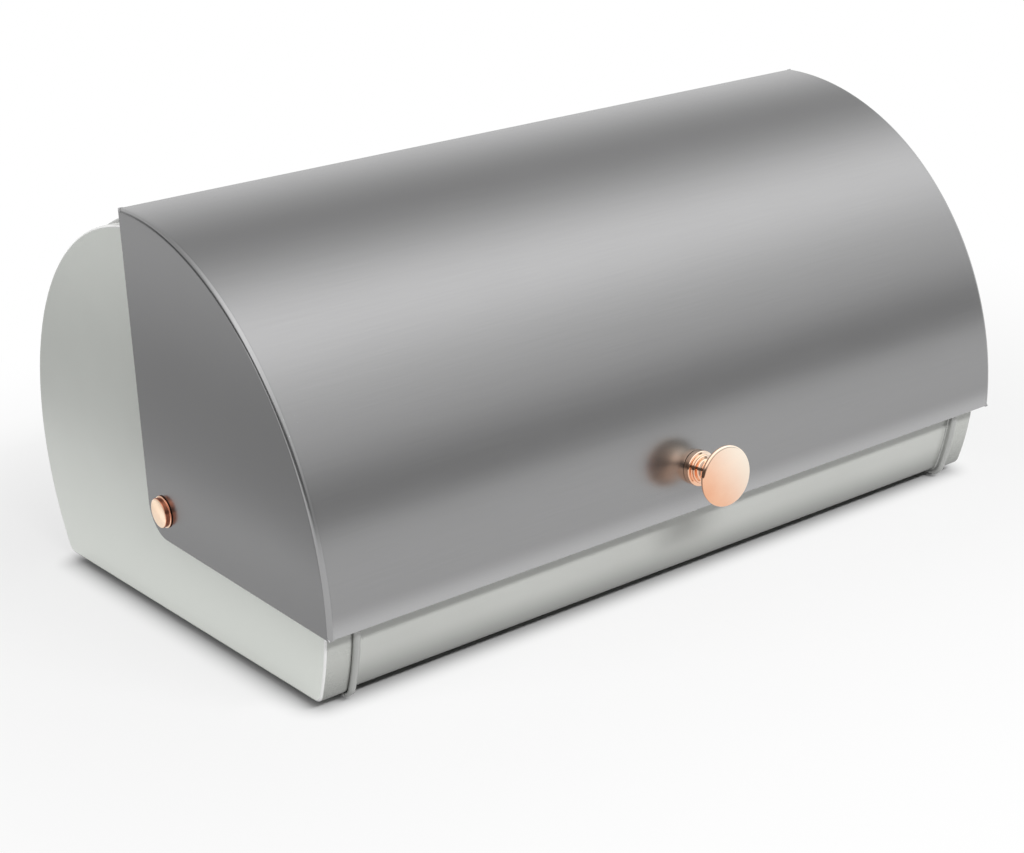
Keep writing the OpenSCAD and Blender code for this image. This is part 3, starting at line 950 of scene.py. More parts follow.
@dataclass
class EndCap:
    """A deep-drawn end: flat face, rounded edge, skirt and the flange inside the seam."""

    layout: Layout
    side: Side
    edge_r: float = 1.25
    skirt_x: float = 174.3
    fillet: float = 1.0

    def profile(self) -> list[Pair]:
        """Gives the section from the face's edge over the skirt and back inside.

        Returns:
            Distances out of the outline, and along X.
        """
        sheet, radius = self.layout.sheet, self.edge_r
        edge = (self.layout.face_x - radius, -radius)
        turn = (self.skirt_x + sheet + self.fillet, self.fillet)
        outer = fold(edge, radius, 0.0, 90.0, 6) + fold(turn, self.fillet, 270.0, 180.0, 4)
        tip = [(self.layout.flange_h, self.skirt_x + back) for back in (sheet, 0.0)]
        inner = fold(turn, self.fillet + sheet, 180.0, 270.0, 4)
        inner += fold(edge, radius - sheet, 90.0, 0.0, 4)
        return outer + tip + inner

    def finish_at(self, face: bpy.types.MeshPolygon) -> int:
        """Picks a face's finish: 0 on the flat face, 1 on the skirt as painted shade, 2 on the
        rounded edge as a painted highlight.
        """
        turned, at = abs(face.normal.x), abs(face.center.x) / MM
        if turned >= 0.97:
            return 0
        return 2 if turned > 0.2 and at > self.layout.face_x - self.edge_r - 0.01 else 1

    def build(self) -> None:
        """Builds and dresses the cap."""
        layout, sign = self.layout, self.side.value
        path, faces = layout.loop(), (sign * layout.face_x, sign * (layout.face_x - layout.sheet))
        edge = [[station.at(out, sign * x) for station in path] for out, x in self.profile()]
        piece = plate(f"cap_{self.side.word}", path, layout.pivot, layout.hole_r, faces, edge)
        finish_piece(piece, Body.DRUM, Paint.CAP, [f"end_cap_{self.side.word}"])
        # The skirt gets a copy of the lacquer painted as shade, and the rounded edge one painted as
        # a highlight.
        repaint(piece, (Paint.SKIRT, Paint.EDGE), self.finish_at)


@dataclass
class Wrap:
    """The sheet round the drum, with the lips of the opening, the air holes and both seams."""

    layout: Layout
    inset: float = 1.0
    panel_half: float = 172.5
    top_deg: float = 80.138
    lip_w: float = 9.0
    bend_r: float = 1.0
    vent_r: float = 3.0
    vent_pitch: float = 16.0
    vent_count: int = 9
    vent_deg: float = 32.0
    vent_margin_deg: float = 3.0
    vent_depth: float = 8.0
    seam_mid: float = 175.0
    seam_h: float = 2.3
    seam_half: float = 1.7

    def path(self) -> list[Station]:
        """Gives the wrapped sheet's path from its top edge round the base to the front lip.

        Returns:
            Stations in the middle of the sheet.
        """
        layout, sheet = self.layout, self.layout.sheet
        ease = math.degrees((self.bend_r + sheet) / layout.body_r)
        top, low = 180.0 - self.top_deg, layout.lip_at
        above, below = self.vent_deg + self.vent_margin_deg, self.vent_deg - self.vent_margin_deg
        rear = arc(layout.pivot, layout.body_r, top - ease, above)
        holes = arc(layout.pivot, layout.body_r, above, below, 0.5)
        under = arc(layout.pivot, layout.body_r, below, -layout.corner_deg)
        front = arc(layout.pivot, layout.body_r, 180.0 + layout.corner_deg, low + ease)
        round_it = rear + holes[1:] + under[1:] + layout.below() + front[1:]
        mid = layout.body_r - self.inset - sheet / 2.0
        lips = [flange(layout.pivot, mid, phi, toward, [self.lip_w], self.bend_r, sheet)
                for phi, toward in ((top, 1), (low, -1))]
        return lips[0] + shifted(round_it, -self.inset - sheet / 2.0) + lips[1][::-1]

    def panel(self) -> None:
        """Builds the wrapped sheet with its air holes."""
        skin = Skin().sheet(self.path(), [-self.panel_half, self.panel_half], self.layout.sheet)
        piece = skin.thing("wrap_sheet")
        cutter = Skin()
        out = radial(self.vent_deg)
        start = self.layout.pivot + out * ((self.layout.body_r - self.vent_depth / 2.0) * MM)
        for i in range(self.vent_count):
            x = (i - (self.vent_count - 1) / 2.0) * self.vent_pitch
            cutter.lathe(start + AXIS_X * (x * MM), out,
                         [(self.vent_r, 0.0), (self.vent_r, self.vent_depth)], steps=48)
        carve(piece, cutter.thing("vent_cutter"))
        # The wrap's finish is painted darker towards the bottom, as shade near the floor.
        finish_piece(piece, Body.DRUM, Paint.WRAP, ["wrap_panel"], sharp_deg=35.0)

    def bead_section(self) -> list[Pair]:
        """Gives the folded seam's closed section: distances out of the outline, and along X."""
        sheet, half = self.layout.sheet, self.seam_half
        crown = (self.seam_mid, self.seam_h - half)
        foot = (self.seam_mid - half - sheet, sheet - self.inset)
        tip = [(crown[1] - 0.05, self.seam_mid + half - back) for back in (0.0, sheet)]
        outer = fold(foot, sheet, 270.0, 360.0, 4) + fold(crown, half, 180.0, 0.0, 12)
        inner = fold(crown, half - sheet, 0.0, 180.0, 12) + fold(foot, 2.0 * sheet, 360.0, 270.0, 4)
        return outer + tip + inner

    def seam(self, side: Side) -> None:
        """Builds the folded seam at one end.

        Args:
            side: The end.
        """
        layout = self.layout
        low, top = layout.lip_at, 180.0 - self.top_deg
        path = arc(layout.pivot, layout.body_r, top, -layout.corner_deg) + layout.below()
        path += arc(layout.pivot, layout.body_r, 180.0 + layout.corner_deg, low)[1:]
        section = self.bead_section()
        rings = [[station.at(out, side.value * x) for out, x in section] for station in path]
        piece = Skin().loft(rings).thing(f"seam_{side.word}")
        # The seam bead gets a darker copy of the body lacquer, as painted shade.
        finish_piece(piece, Body.DRUM, Paint.SEAM)

    def build(self) -> None:
        """Builds the sheet and both seams."""
        self.panel()
        for side in Side:
            self.seam(side)


# Lid

@dataclass
class LidSheet:
    """The rolled sheet of the lid: hemmed at the top, a ledge below, stepped in at both ends."""

    layout: Layout
    half_len: float = 191.3
    ledge_half: float = 172.6
    hem_w: float = 4.0
    ledge_w: float = 14.7
    bend_r: float = 0.6
    step: float = 0.7

    def build(self) -> None:
        """Builds and dresses the sheet."""
        (low, high), rim_x = self.layout.lid_span, self.layout.rim_x
        sheet, centre = self.layout.sheet, self.layout.lid_centre
        mid = self.layout.lid_r - sheet / 2.0
        ease = math.degrees((self.bend_r + sheet) / mid)
        lower = flange(centre, mid, low, 1, [self.ledge_w, self.hem_w], self.bend_r, sheet)
        upper = flange(centre, mid, high, -1, [self.hem_w], self.bend_r, sheet)
        crown = arc(centre, mid, low - ease, high + ease, 1.0)
        xs = [-rim_x, -self.ledge_half, self.ledge_half, rim_x]
        skin = Skin().sheet(lower + crown + upper[::-1], xs, sheet, lambda i, j: i > 0 or j == 1)
        for side in Side:
            end = shifted(crown, -self.step)
            ends = sorted(side.value * x for x in (rim_x - sheet, self.half_len))
            skin.sheet(end, ends, sheet)
        # The lid's finish paints a highlight along the lower edge.
        finish_piece(skin.thing("lid_skin"), Body.LID, Paint.LID, ["lid_sheet"], bevel_mm=0.02)


@dataclass
class Cheek:
    """A flat end of the lid whose folded rim holds the rolled sheet."""

    layout: Layout
    side: Side
    face: float = 192.0
    fold_r: float = 1.9
    inset: float = 3.2
    corner_r: float = 14.0
    hole_r: float = 4.05
    nick: float = 0.02
    soft: float = 0.15

    def rim_section(self) -> list[Pair]:
        """Gives the section across the folded rim: distances out of the outline, and along X."""
        sheet, near, nick, bend = self.layout.sheet, self.layout.rim_x, self.nick, self.fold_r
        turn = (self.face - bend, -bend)
        tip = [(0.0, near + nick), (-nick, near), (nick - sheet, near), (-sheet, near + nick)]
        return ([(-self.inset, self.face)] + fold(turn, bend, 0.0, 90.0, 7) + tip
                + fold(turn, bend - sheet, 90.0, 0.0, 3) + [(-self.inset, self.face - sheet)])

    def plain_section(self) -> list[Pair]:
        """Gives the section across a plain edge, point for point like the rim's."""
        face, back, soft = self.face, self.face - self.layout.sheet, self.soft
        turn = fold((face - soft, -soft), soft, 0.0, 90.0, 7)
        third = soft / 3.0
        tip = [(0.0, face - 2.0 * soft), (0.0, back + soft), (-third, back + third), (-soft, back)]
        under = [(-soft - step, back) for step in (0.1, 0.3, 0.6, 0.9)]
        return [(-self.inset, face)] + turn + tip + under + [(-self.inset, back)]

    def stations(self) -> tuple[list[Station], list[bool]]:
        """Gives the outline's stations and tells which of them carry the rim.

        Returns:
            The stations and one flag for each.
        """
        centre, pivot, span = self.layout.lid_centre, self.layout.pivot, self.layout.lid_span
        ends = [centre + radial(phi) * (self.layout.lid_r * MM) for phi in span]
        touch = []
        for end, turn in zip(ends, (1.0, -1.0)):
            away = end - pivot
            swing = math.acos(self.corner_r * MM / away.length)
            touch.append(math.degrees(math.atan2(away.z, away.y) + turn * swing))
        low_touch, high_touch = touch[0] % 360.0 - 360.0, touch[1]
        normals = [radial(low_touch), radial(high_touch)]
        crown = arc(centre, self.layout.lid_r, *span, 1.5)
        mitres = [Station(end, crown_end.outward + normal)
                  for end, crown_end, normal in zip(ends, (crown[0], crown[-1]), normals)]
        foot = [pivot + normal * (self.corner_r * MM) for normal in normals]
        down = [Station(ends[1].lerp(foot[1], t), normals[1]) for t in spread(0.0, 1.0, 16)[1:-1]]
        around = arc(pivot, self.corner_r, high_touch, low_touch, 6.0)
        out = [Station(foot[0].lerp(ends[0], t), normals[0]) for t in spread(0.0, 1.0, 16)[1:-1]]
        path = [mitres[0], *crown[1:-1], mitres[1], mitres[1], *down, *around, *out, mitres[0]]
        rim = [True] * len(crown) + [False] * (len(path) - len(crown))
        return path, rim

    def build(self) -> None:
        """Builds and dresses the cheek."""
        (path, rim), sign = self.stations(), self.side.value
        faces = (sign * self.face, sign * (self.face - self.layout.sheet))
        edge = [[station.at(pair[flag][0], sign * pair[flag][1])
                 for station, flag in zip(path, rim)]
                for pair in zip(self.plain_section(), self.rim_section())]
        name = f"cheek_{self.side.word}"
        piece = plate(name, path, self.layout.pivot, self.hole_r, faces, edge)
        finish_piece(piece, Body.LID, Paint.LID, [f"lid_cheek_{self.side.word}"])
        # The flat face gets a darker copy of the lacquer as painted shade, and the rim's fold a
        # lighter one as a painted highlight.
        repaint(piece, (Paint.CHEEK, Paint.RIM), self.finish_at)

    @staticmethod
    def finish_at(face: bpy.types.MeshPolygon) -> int:
        """Picks a face's finish: 0 on the rim's top, 1 on the flat face as painted shade, 2 on the
        rim's fold as a painted highlight.
        """
        turned = abs(face.normal.x)
        return 1 if turned > 0.95 else 2 if turned > 0.1 else 0


# Knob and fasteners

@dataclass
class Knob:
    """The turned rose-gold knob with its stepped base, and the screw that holds it."""

    layout: Layout
    axis_deg: float = 2.5
    seat_r: float = 137.8
    length: float = 20.8
    head_r: float = 13.7
    base_r: float = 8.0
    ring_r: float = 6.4
    neck_r: float = 4.4
    dome_h: float = 0.9
    rim_h: float = 2.6
    edge_r: float = 1.2
    bore_r: float = 2.05
    bore: float = 11.0
    lid_wall: float = 0.7
    washer_r: float = 6.0
    washer_t: float = 0.8
    screw_r: float = 2.0
    core_r: float = 1.82
    pitch: float = 0.35

    @property
    def axis(self) -> Vector:
        """The direction that the knob points in."""
        return radial(180.0 - self.axis_deg)

    def seat(self, distance: float) -> Vector:
        """Gives the point on the knob's axis at a distance from the lid's centre."""
        return self.layout.lid_centre + self.axis * (distance * MM)

    def profile(self) -> list[Pair]:
        """Gives the knob's turned profile, from the screw's bore to the middle of the dome.

        Returns:
            Radius and height of each point.
        """
        base = [(0.0, self.bore), (self.bore_r, self.bore), (self.bore_r, 0.0)]
        base += [(self.base_r - 0.2, 0.0), (self.base_r, 0.25)]
        base += quarter((self.base_r - 0.7, 2.7), 0.7, 0.0, 80.0, 5)
        base += quarter((self.ring_r + 0.35, 3.75), 0.35, 270.0, 180.0, 3)
        base += quarter((self.ring_r - 0.6, 4.7), 0.6, 0.0, 80.0, 4)
        base += quarter((self.neck_r + 0.7, 5.95), 0.7, 270.0, 190.0, 4)
        waist = self.neck_r - 0.25
        neck = [(waist + 0.02, 6.6), (waist, 7.4), (waist + 0.1, 8.4)]
        thin, low = neck[-1]
        edge = self.length - self.dome_h - self.rim_h
        reach = self.head_r - 0.75 - thin
        turns = [math.radians(a) for a in spread(0.0, 90.0, 14)[1:]]
        flare = [(thin + reach * (1.0 - math.cos(turn)), low + (edge - low) * math.sin(turn) ** 1.1)
                 for turn in turns]
        middle = (self.head_r - self.edge_r, edge + self.rim_h / 2.0)
        rim = quarter(middle, self.edge_r, -48.0, 80.0, 9)
        return base + neck + flare + rim + dome(rim[-1], self.length, 10)

    def build(self) -> None:
        """Builds the knob, its washer and its screw."""
        turned = Skin().lathe(self.seat(self.seat_r), self.axis, self.profile(), steps=96)
        finish_piece(turned.thing("knob_turned"), Body.LID, Paint.ROSE, ["knob"], sharp_deg=50.0)
        hole, rim, thick, soft = self.bore_r + 0.05, self.washer_r, self.washer_t, 0.15
        inside = math.sqrt((self.seat_r - self.lid_wall) ** 2 - rim ** 2) - 0.05 - thick
        section = [(hole, 0.0), (rim - soft, 0.0), (rim, soft), (rim, thick - soft),
                   (rim - soft, thick), (hole, thick)]
        washer = Skin().lathe(self.seat(inside), self.axis, section, closed=True)
        finish_piece(washer.thing("knob_washer_plate"), Body.LID, Paint.ZINC, ["knob_washer"])
        self.screw(inside)

    def screw(self, under_head: float) -> None:
        """Builds the pan-head screw with its cross recess.

        Args:
            under_head: Distance from the lid's centre to the underside of the head.
        """
        head = [(0.0, -2.0), (1.6, -1.92), (2.9, -1.62), (3.7, -1.1), (4.0, -0.5), (4.0, -0.05),
                (3.95, 0.0)]
        end = self.seat_r + self.bore - 1.0 - under_head
        thread = [(self.screw_r if i % 2 else self.core_r, 2.0 + i * self.pitch)
                  for i in range(int((end - 3.0) / self.pitch))]
        shank = [(self.screw_r, 0.0), *thread, (1.6, end - 0.4), (0.0, end)]
        skin = Skin().lathe(self.seat(under_head), self.axis, head + shank, steps=40)
        screw = skin.thing("knob_screw_pan")
        up = self.axis.cross(AXIS_X)
        for wide, narrow in ((AXIS_X, up), (up, AXIS_X)):
            rings = []
            for height, half, thin in ((-2.4, 2.1, 0.42), (-1.0, 1.4, 0.3)):
                mid = self.seat(under_head + height)
                rings.append([mid + wide * (a * half * MM) + narrow * (b * thin * MM)
                              for a, b in ((-1, -1), (1, -1), (1, 1), (-1, 1))])
            carve(screw, Skin().loft(rings).thing("recess_cutter"))
        finish_piece(screw, Body.LID, Paint.ZINC, ["knob_screw"], sharp_deg=35.0)


@dataclass
class Pivot:
    """One pivot: a bright bolt head on a collar, a flanged bush, a washer and a cap nut."""

    layout: Layout
    side: Side
    head_x: float = 192.3
    head_r: float = 7.6
    head_h: float = 2.8
    bolt_r: float = 2.5
    bush_r: float = 4.0
    flange_r: float = 9.0
    flange_t: float = 1.7
    bush_len: float = 2.9
    washer_r: float = 6.0
    nut_flats: float = 8.0
    nut_h: float = 4.0

    @property
    def axis(self) -> Vector:
        """The pivot's direction, out of the box."""
        return AXIS_X * self.side.value

    def turn(self, name: str, profile: Sequence[Pair], closed: bool = False, steps: int = 64,
             limit: Callable[[float], float] | None = None) -> bpy.types.Object:
        """Turns a profile of radius and X about the pivot axis.

        Args:
            name: The piece's name.
            profile: Radius and X of each point.
            closed: True round a bore.
            steps: How many steps a turn has.
            limit: Largest radius at an angle.

        Returns:
            The object.
        """
        return Skin().lathe(self.layout.pivot, self.axis, profile, closed, steps, limit).thing(name)

    def bolt(self) -> None:
        """Builds the bolt with its collar and slightly domed head."""
        start, rim, crown = self.head_x, self.head_r - 0.3, self.head_r - 0.9
        inner = self.layout.face_x - self.layout.sheet - 1.0 - self.nut_h
        shank = [(0.0, inner), (self.bolt_r - 0.3, inner), (self.bolt_r, inner + 0.3),
                 (self.bolt_r, start)]
        collar = [(rim - 0.1, start), (rim, start + 0.08), (rim, start + 0.3),
                  (rim - 0.1, start + 0.4), (crown + 0.05, start + 0.42), (crown, start + 0.47)]
        side = quarter((crown - 0.35, start + 2.2), 0.35, 0.0, 80.0, 4)
        profile = shank + collar + side + dome(side[-1], start + self.head_h, 8)
        piece = self.turn(f"pivot_head_{self.side.word}", profile, steps=80)
        # The head keeps a pale copy of the plating as a painted highlight, and its side walls get a
        # dark copy as painted shade.
        finish_piece(piece, Body.DRUM, Paint.BOLT, [f"pivot_bolt_{self.side.word}"], sharp_deg=45.0)
        repaint(piece, (Paint.WALL,), lambda face: int(abs(face.normal.x) < 0.8))

    def bush(self) -> None:
        """Builds the flanged bush that the cheek turns on."""
        near, rim, barrel = self.layout.face_x, self.flange_r, self.bush_r
        step, end, bore = near + self.flange_t, near + self.bush_len, self.layout.hole_r
        section = [(bore, near), (rim - 0.2, near), (rim, near + 0.2), (rim, step - 0.3),
                   (rim - 0.3, step), (barrel + 0.2, step), (barrel, step + 0.2),
                   (barrel, end - 0.15), (barrel - 0.15, end), (bore, end)]
        piece = self.turn(f"bush_{self.side.word}", section, closed=True)
        finish_piece(piece, Body.DRUM, Paint.NYLON, [f"pivot_bush_{self.side.word}"])

    def washer(self) -> None:
        """Builds the washer inside the cap."""
        far = self.layout.face_x - self.layout.sheet
        near, rim, bore = far - 1.0, self.washer_r, self.layout.hole_r
        section = [(bore, near), (rim - 0.2, near), (rim, near + 0.2), (rim, far - 0.1),
                   (rim - 0.1, far), (bore, far)]
        piece = self.turn(f"washer_{self.side.word}", section, closed=True)
        finish_piece(piece, Body.DRUM, Paint.ZINC, [f"pivot_washer_{self.side.word}"])

    def nut(self) -> None:
        """Builds the cap nut: chamfered flats with a round cap."""
        far = self.layout.face_x - self.layout.sheet - 1.0
        near, half = far - self.nut_h, self.nut_flats / 2.0
        corner = half / math.cos(math.radians(30.0))

        def flats(turn: float) -> float:
            """Gives the six-sided reach at an angle."""
            return half / math.cos((turn + math.pi / 6.0) % (math.pi / 3.0) - math.pi / 6.0)

        shell = half - 0.3
        cap = [(shell * math.sin(math.radians(a)), near - shell * math.cos(math.radians(a)))
               for a in spread(0.0, 86.0, 9)]
        bore = self.bolt_r + 0.05
        body = [(half + 0.1, near + 0.05), (corner, near + 0.35), (corner, far - 0.35),
                (half + 0.1, far), (bore, far), (bore, near - 0.1), (0.0, near - 0.1)]
        piece = self.turn(f"cap_nut_{self.side.word}", cap + body, steps=72, limit=flats)
        finish_piece(piece, Body.DRUM, Paint.ZINC, [f"pivot_nut_{self.side.word}"], sharp_deg=28.0)

    def build(self) -> None:
        """Builds all of the pivot."""
        self.bolt()
        self.bush()
        self.washer()
        self.nut()


@dataclass
class Feet:
    """Four rubber feet with their rivets."""

    layout: Layout
    inset: float = 38.0
    setback: float = 24.5
    height: float = 5.0
    floor_r: float = 8.0
    top_r: float = 9.0
    recess_r: float = 4.1
    recess_h: float = 1.7
    rivet_r: float = 2.0
    head_r: float = 4.0

    def places(self) -> dict[str, Vector]:
        """Gives each foot's place on the floor by the end of its name."""
        x = (self.layout.face_x - self.inset) * MM
        y = (self.layout.corner[0] - self.setback) * MM
        mid = self.layout.pivot.y
        return {"front_left": Vector((-x, mid - y, 0.0)), "front_right": Vector((x, mid - y, 0.0)),
                "rear_left": Vector((-x, mid + y, 0.0)), "rear_right": Vector((x, mid + y, 0.0))}

    def build(self) -> None:
        """Builds the feet, and their rivets as one piece."""
        bore = self.rivet_r + 0.1
        section = quarter((self.floor_r - 0.8, 0.8), 0.8, 270.0, 360.0, 5)
        section += [(self.floor_r + 0.35, 2.6), (self.top_r - 0.1, self.height - 0.2)]
        section += [(self.top_r - 0.3, self.height)]
        section += [(bore, self.height), (bore, self.recess_h), (self.recess_r, self.recess_h)]
        section += quarter((self.recess_r + 0.5, 0.5), 0.5, 180.0, 270.0, 3)
        for name, place in self.places().items():
            foot = Skin().lathe(place, AXIS_Z, section, closed=True).thing(f"foot_{name}_pad")
            finish_piece(foot, Body.DRUM, Paint.RUBBER, [f"foot_{name}"], sharp_deg=50.0)
        low, top = self.recess_h - 1.0, self.height + self.layout.sheet
        rim, shank = self.head_r, self.rivet_r
        rivet = [(0.0, low), (rim - 1.6, low + 0.04), (rim - 0.5, low + 0.22), (rim, low + 0.62),
                 (rim, low + 1.0), (shank, low + 1.0), (shank, top), (rim, top), (rim, top + 0.35),
                 (rim - 0.5, top + 0.74), (rim - 1.6, top + 0.96), (0.0, top + 1.0)]
        skin = Skin()
        for place in self.places().values():
            skin.lathe(place, AXIS_Z, rivet, steps=48)
        finish_piece(skin.thing("foot_rivet_set"), Body.DRUM, Paint.ZINC, ["foot_rivets"])


@dataclass
class Bumper:
    """A rubber button on the front lip, which the closed lid rests near."""

    layout: Layout
    side: Side
    at_r: float = 120.524
    at_x: float = 151.0
    radius: float = 3.0
    height: float = 1.5
    stem_r: float = 1.4

    def build(self) -> None:
        """Builds and dresses the button with its barbed stem."""
        phi = self.layout.lip_at
        up = radial(phi - 90.0)
        foot = self.layout.pivot + radial(phi) * (self.at_r * MM)
        foot += AXIS_X * (self.side.value * self.at_x * MM)
        sheet, stem = self.layout.sheet, self.stem_r
        tail, barb = -sheet - stem, stem + sheet
        profile = [(0.0, tail), (stem - 0.1, tail), (stem, tail + 0.1), (barb, -sheet - 0.1),
                   (barb - 0.1, -sheet), (stem, -sheet), (stem, 0.0), (self.radius - 0.1, 0.0),
                   (self.radius, 0.12)]
        profile += quarter((self.radius - 0.7, self.height - 0.7), 0.7, 0.0, 80.0, 5)
        profile += [(0.0, self.height)]
        word = self.side.word
        piece = Skin().lathe(foot, up, profile, steps=48).thing(f"bumper_{word}")
        finish_piece(piece, Body.DRUM, Paint.RUBBER, [f"lip_bumper_{word}"], sharp_deg=50.0)


# Studio

@dataclass
class Studio:
    """Pale floor, soft light all round in broad bands, grey cards, lamps and the camera.

    Its lengths are metres, because it isn't a part of the box, and only its lens is millimetres.
    """

    lens: float = 73.06
    shift: Pair = (-0.0586, 0.0570)
    eye: tuple = (-0.55927, -0.76542, 0.38125)
    right: tuple = (0.78280729, -0.61986421, -0.05459946)
    up: tuple = (0.2626291, 0.24956726, 0.93206338)
    level: float = 2.0
    fill: float = 0.24
    right_end: float = 1.1
    right_x: Pair = (0.72, 0.97)
    left_end: float = 0.10
    left_x: Pair = (0.25, 0.60)
    left_z: Pair = (0.42, 0.62)
    lamps: tuple = (("key", (-0.05, -1.33, 1.10), (1.3, 0.20), 24.0),
                    ("side", (-1.50, 0.25, 0.55), (0.5, 0.5), 4.5))
    floor_r: float = 60.0
    floor_tones: Pair = (0.84, 0.86)
    grain_per_m: float = 14.0
    near_white: float = 0.70
    white_reach: Pair = (0.02, 0.35)
    bounce: float = 0.34
    # The floor's painted contact shadow: its tone and its reach round the footprint.
    contact_shadow_tone: float = 0.46
    foot_y: float = 0.0126
    foot_half: float = 0.104
    foot_inset: float = 0.012
    contact_shadow_reach: float = 0.020
    card_x: float = 0.262
    card_y: Pair = (-0.05, 0.62)
    card_z: Pair = (0.002, 0.155)
    card_t: float = 0.002
    card_tones: Pair = (1.4, 0.64)
    card_foot: Pair = (0.0, 0.032)
    card_top: Pair = (0.07, 0.15)
    card_fade: float = 0.6
    bands: tuple = (
        (0.0, 0.5), (7.0, 0.3), (16.0, 0.42), (27.0, 0.9), (38.0, 0.98), (52.0, 1.22), (66.0, 1.7),
        (80.0, 1.88), (94.0, 1.25), (106.0, 0.78), (121.0, 0.42), (131.0, 0.55), (146.0, 0.95),
        (162.0, 1.12), (180.0, 0.95))

    def floor(self) -> None:
        """Builds the pale floor, which keeps the shadow of the box, with a painted contact shadow
        round its footprint.
        """
        skin = Skin()
        ring = [Vector((self.floor_r * math.cos(turn), self.floor_r * math.sin(turn), 0.0))
                for turn in spread(0.0, FULL_TURN, 96)[:-1]]
        skin.mesh.faces.new([skin.mesh.verts.new(point) for point in ring])
        floor = skin.thing("floor")
        made, recipe = new_recipe("pale_floor")
        grain = recipe.noise(self.grain_per_m, 3.0)
        half_x = (CAD_BOX[1].x - CAD_BOX[0].x) / 2.0 - self.foot_inset
        foot = abs(recipe.place() - (0.0, self.foot_y, 0.0)) - (half_x, self.foot_half, 0.0)
        away = recipe.node("ShaderNodeVectorMath", {"operation": "LENGTH"},
                           {0: foot.top((0.0, 0.0, 0.0))}, "Value")
        # Painted contact shadow: the floor turns darker, and loses its white lift, towards the
        # box's footprint.
        clear = away.between(0.0, self.contact_shadow_reach)
        kinds = [recipe.ray(kind) for kind in ("Camera", "Glossy", "Transmission")]
        seen = kinds[0].top(kinds[1]).top(kinds[2])
        pale = grain.blend(*(tripled(tone) for tone in self.floor_tones))
        tone = clear.blend(tripled(self.contact_shadow_tone), seen.blend(tripled(self.bounce), pale))
        matt = recipe.node("ShaderNodeBsdfDiffuse", None, {"Color": tone})
        white = recipe.node("ShaderNodeEmission", None,
                            {"Color": (1.0, 1.0, 1.0, 1.0), "Strength": 1.0})
        far = away.between(*self.white_reach) * (1.0 - self.near_white)
        share = clear * (far + self.near_white)
        recipe.finish("Material", recipe.node(
            "ShaderNodeMixShader", None, {0: seen * share, 1: matt, 2: white}))
        floor.data.materials.append(made)

    def sky(self) -> None:
        """Writes the soft light: bands along the box, with an even right and a dark left end."""
        world = bpy.data.worlds.new("studio")
        bpy.context.scene.world = world
        world.use_nodes = True
        recipe = Recipe(world.node_tree)
        x, y, z = recipe.parts(recipe.node("ShaderNodeTexCoord", output="Generated"))
        lift = recipe.node("ShaderNodeMath", {"operation": "ARCTAN2"}, {0: z.top(0.0), 1: y * -1.0})
        stops = [(angle / 180.0, level / self.level) for angle, level in self.bands]
        band = recipe.node("ShaderNodeValToRGB", {"stops": stops}, {0: lift / math.pi})
        tone = x.between(*self.right_x).blend(band, tripled(self.right_end / self.level))
        dim = (x * -1.0).between(*self.left_x) * (1.0 - z.between(*self.left_z))
        tone = dim.blend(tone, tripled(self.left_end / self.level))
        share = 1.0 - recipe.ray("Diffuse") * (1.0 - self.fill)
        recipe.finish("World", recipe.node(
            "ShaderNodeBackground", None, {"Color": tone, "Strength": share * self.level}))

    def card(self, side: Side) -> None:
        """Stands a low grey card beside an end of the box, which only the glossy finishes see."""
        near, far = self.card_y
        low, high = self.card_z
        x = side.value * self.card_x
        corners = ((near, low), (far, low), (far, high), (near, high))
        rings = [[Vector((x + side.value * thick, y, z)) for y, z in corners]
                 for thick in (0.0, self.card_t)]
        card = Skin().loft(rings).thing(f"grey_card_{side.word}")
        made, recipe = new_recipe(f"grey_card_{side.word}")
        height = recipe.height()
        kept = 1.0 - height.between(*self.card_top) * self.card_fade
        dark = height.between(*self.card_foot) * kept
        tone = dark.blend(*(tripled(tone) for tone in self.card_tones))
        recipe.finish("Material", recipe.node(
            "ShaderNodeEmission", None, {"Color": tone, "Strength": 1.0}))
        card.data.materials.append(made)
        card.visible_camera = card.visible_diffuse = card.visible_shadow = False

    def lamp(self, name: str, place: Sequence[float], size: Pair, watts: float) -> None:
        """Hangs a soft oval lamp that only lights and isn't mirrored.

        Args:
            name: The lamp's name.
            place: Where it hangs, aimed at the origin.
            size: Its width and height in metres.
            watts: Its power.
        """
        data = bpy.data.lights.new(name, "AREA")
        data.shape = "ELLIPSE"
        data.size, data.size_y = size
        data.energy = watts
        lamp = bpy.data.objects.new(name, data)
        lamp.location = place
        lamp.rotation_euler = (-Vector(place)).to_track_quat("-Z", "Y").to_euler()
        lamp.visible_glossy = False
        bpy.context.scene.collection.objects.link(lamp)

    def camera(self) -> None:
        """Sets up the camera where the photograph was taken from."""
        data = bpy.data.cameras.new("camera")
        data.lens = self.lens
        data.sensor_width = 36.0
        data.shift_x, data.shift_y = self.shift
        data.clip_start = 0.05
        camera = bpy.data.objects.new("camera", data)
        right, up = Vector(self.right), Vector(self.up)
        turn = Matrix((right, up, right.cross(up))).transposed().to_4x4()
        camera.matrix_world = Matrix.Translation(Vector(self.eye)) @ turn
        bpy.context.scene.collection.objects.link(camera)
        bpy.context.scene.camera = camera

    def build(self) -> None:
        """Builds the whole studio."""
        self.camera()
        self.floor()
        for side in Side:
            self.card(side)
        for lamp in self.lamps:
            self.lamp(*lamp)
        self.sky()
        bpy.context.scene.view_settings.view_transform = "Standard"


def main() -> None:
    """Builds the bread box and the studio."""
    logging.basicConfig(level=logging.INFO, format="%(message)s")
    layout = Layout.measure()
    LOG.info("body radius %.2f mm, lid radius %.2f mm", layout.body_r, layout.lid_r)
    for side in Side:
        EndCap(layout, side).build()
        Cheek(layout, side).build()
        Pivot(layout, side).build()
        Bumper(layout, side).build()
    Wrap(layout).build()
    LidSheet(layout).build()
    Knob(layout).build()
    Feet(layout).build()
    Studio().build()
    bpy.context.view_layer.update()


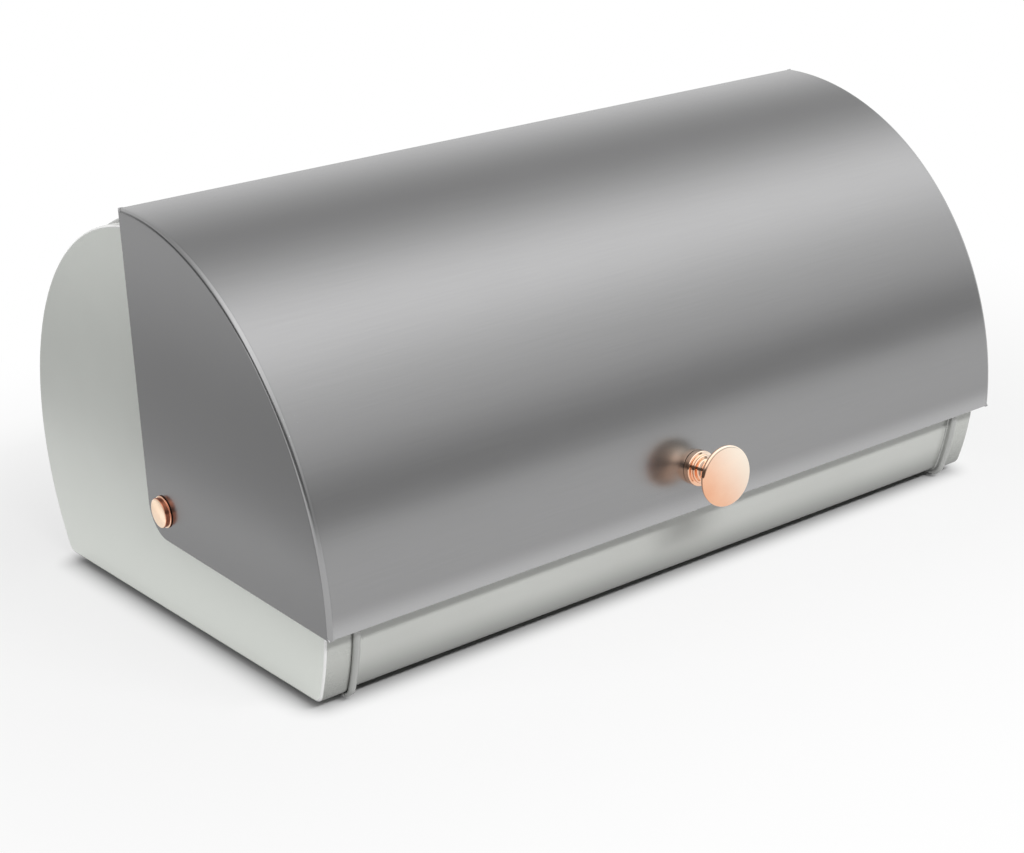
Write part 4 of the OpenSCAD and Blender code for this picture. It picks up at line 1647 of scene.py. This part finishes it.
if __name__ == "__main__":
    main()
